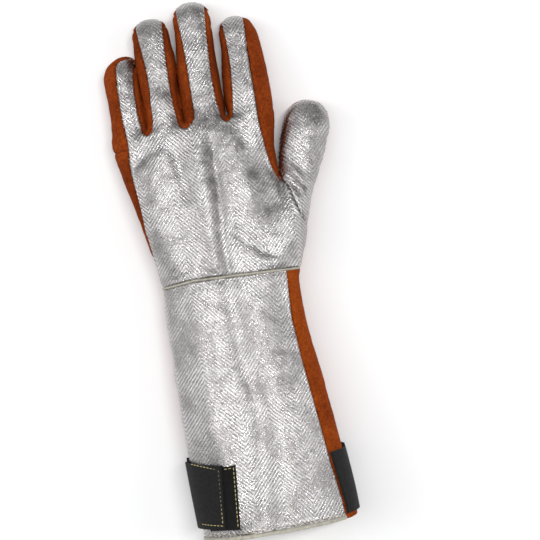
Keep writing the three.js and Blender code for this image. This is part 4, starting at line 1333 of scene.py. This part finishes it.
tab_corner = [TAB_X - TAB_INSET, TAB_TOP - TAB_INSET]
tab_foot = [TAB_X - SLANT - TAB_INSET, TAB_FOOT + TAB_INSET]
tab_lines = [
    [[TAB_FROM_X, STRAP_TOP - TAB_RUN_DROPS[0] - TAB_INSET], tab_corner],
    [tab_corner, tab_foot],
    [tab_foot, [TAB_FROM_X, FOOT - TAB_RUN_DROPS[1] + TAB_INSET]],
]
patch_corner = [PATCH_X - PATCH_INSET, PATCH_TOP - PATCH_INSET]
patch_lines = [
    [[PATCH_FROM_X, PATCH_TOP - PATCH_INSET], patch_corner],
    [patch_corner, [PATCH_X - SLANT - PATCH_INSET, PATCH_FOOT + PATCH_INSET]],
]
hem_x = np.linspace(HEM_FROM_X, HEM_TO_X, 120)
hem_y = -CUFF_LENGTH + HEM_INSET + HEM_WANDER * np.sin(hem_x * 0.5)
tab_runs = [line_on(line, strap_points, STRAP_THICKNESS) for line in tab_lines]
patch_runs = [line_on(line, patch_points, PATCH_THICKNESS) for line in patch_lines]
hem_runs = [line_on(np.stack([hem_x, hem_y], axis=1), count=160)]
declare(stitches("tab_stitches", tab_runs, THREAD, *CLOTH_STITCH), "seam_piping")
declare(stitches("patch_stitches", patch_runs, THREAD, *CLOTH_STITCH), "seam_piping")
declare(stitches("hem_stitches", hem_runs, PALE_THREAD, *HEM_STITCH), "seam_piping")

# Floor, lights and camera, in metres.
FLOOR_SIZE = 12
FLOOR_Z = -0.0002
PALE = (0.95, 0.95, 0.95)
SKY = (0.95, 0.97, 1.0)
SKY_STRENGTH = 0.16
# Lights: place, aim, width, height, power.
LIGHTS = {
    "key strip": ((-0.72, 0.15, 1.6), (0, 0, 0), 0.4, 2.2, 11.5),
    "left softbox": ((-1.8, 0.4, 1.0), (0, 0, 0), 1.5, 1.5, 11),
    "narrow top strip": ((0.3, 0.1, 1.6), (0, 0, 0), 0.08, 0.8, 12),
    "right fill": ((1.7, -0.15, 0.9), (0, 0, 0.02), 0.8, 1.6, 10),
    "near fill": ((0.1, -1.8, 1.0), (0, -0.1, 0), 1.6, 0.5, 4),
    "far fill": ((0, 1.8, 1.0), (0, 0.1, 0), 1.6, 0.5, 5),
}
# The camera looks straight down, turned as in the photograph. Aim and distance in millimetres.
TURN = math.radians(10)
AIM = np.array([30.6, 0.7, 22.0])
DISTANCE = 1125.0
LENS = 100
SENSOR = 36

bpy.ops.mesh.primitive_plane_add(size=FLOOR_SIZE, location=(0, 0, FLOOR_Z))
floor = bpy.context.object
floor.name = "floor"
floor_material, _, floor_shader = new_material("floor", PALE, 0.9)
floor_shader.inputs["Specular IOR Level"].default_value = 0.1
floor.data.materials.append(floor_material)

world = bpy.data.worlds.new("studio")
bpy.context.scene.world = world
world.use_nodes = True
sky = world.node_tree.nodes["Background"]
sky.inputs["Color"].default_value = (*SKY, 1)
sky.inputs["Strength"].default_value = SKY_STRENGTH


for name, (place, aim, width, height, power) in LIGHTS.items():
    data = bpy.data.lights.new(name, "AREA")
    data.shape = "RECTANGLE"
    data.size, data.size_y = width, height
    data.energy = power
    lamp = bpy.data.objects.new(name, data)
    lamp.location = place
    lamp.rotation_euler = (Vector(aim) - Vector(place)).to_track_quat("-Z", "Y").to_euler()
    bpy.context.scene.collection.objects.link(lamp)

camera_data = bpy.data.cameras.new("camera")
camera_data.lens = LENS
camera_data.sensor_width = SENSOR
camera = bpy.data.objects.new("camera", camera_data)
camera.location = to_frame(AIM + np.array([0, 0, DISTANCE]))
camera.rotation_euler = (0, 0, -TURN)
bpy.context.scene.collection.objects.link(camera)
bpy.context.scene.camera = camera
bpy.context.scene.view_settings.view_transform = "Standard"
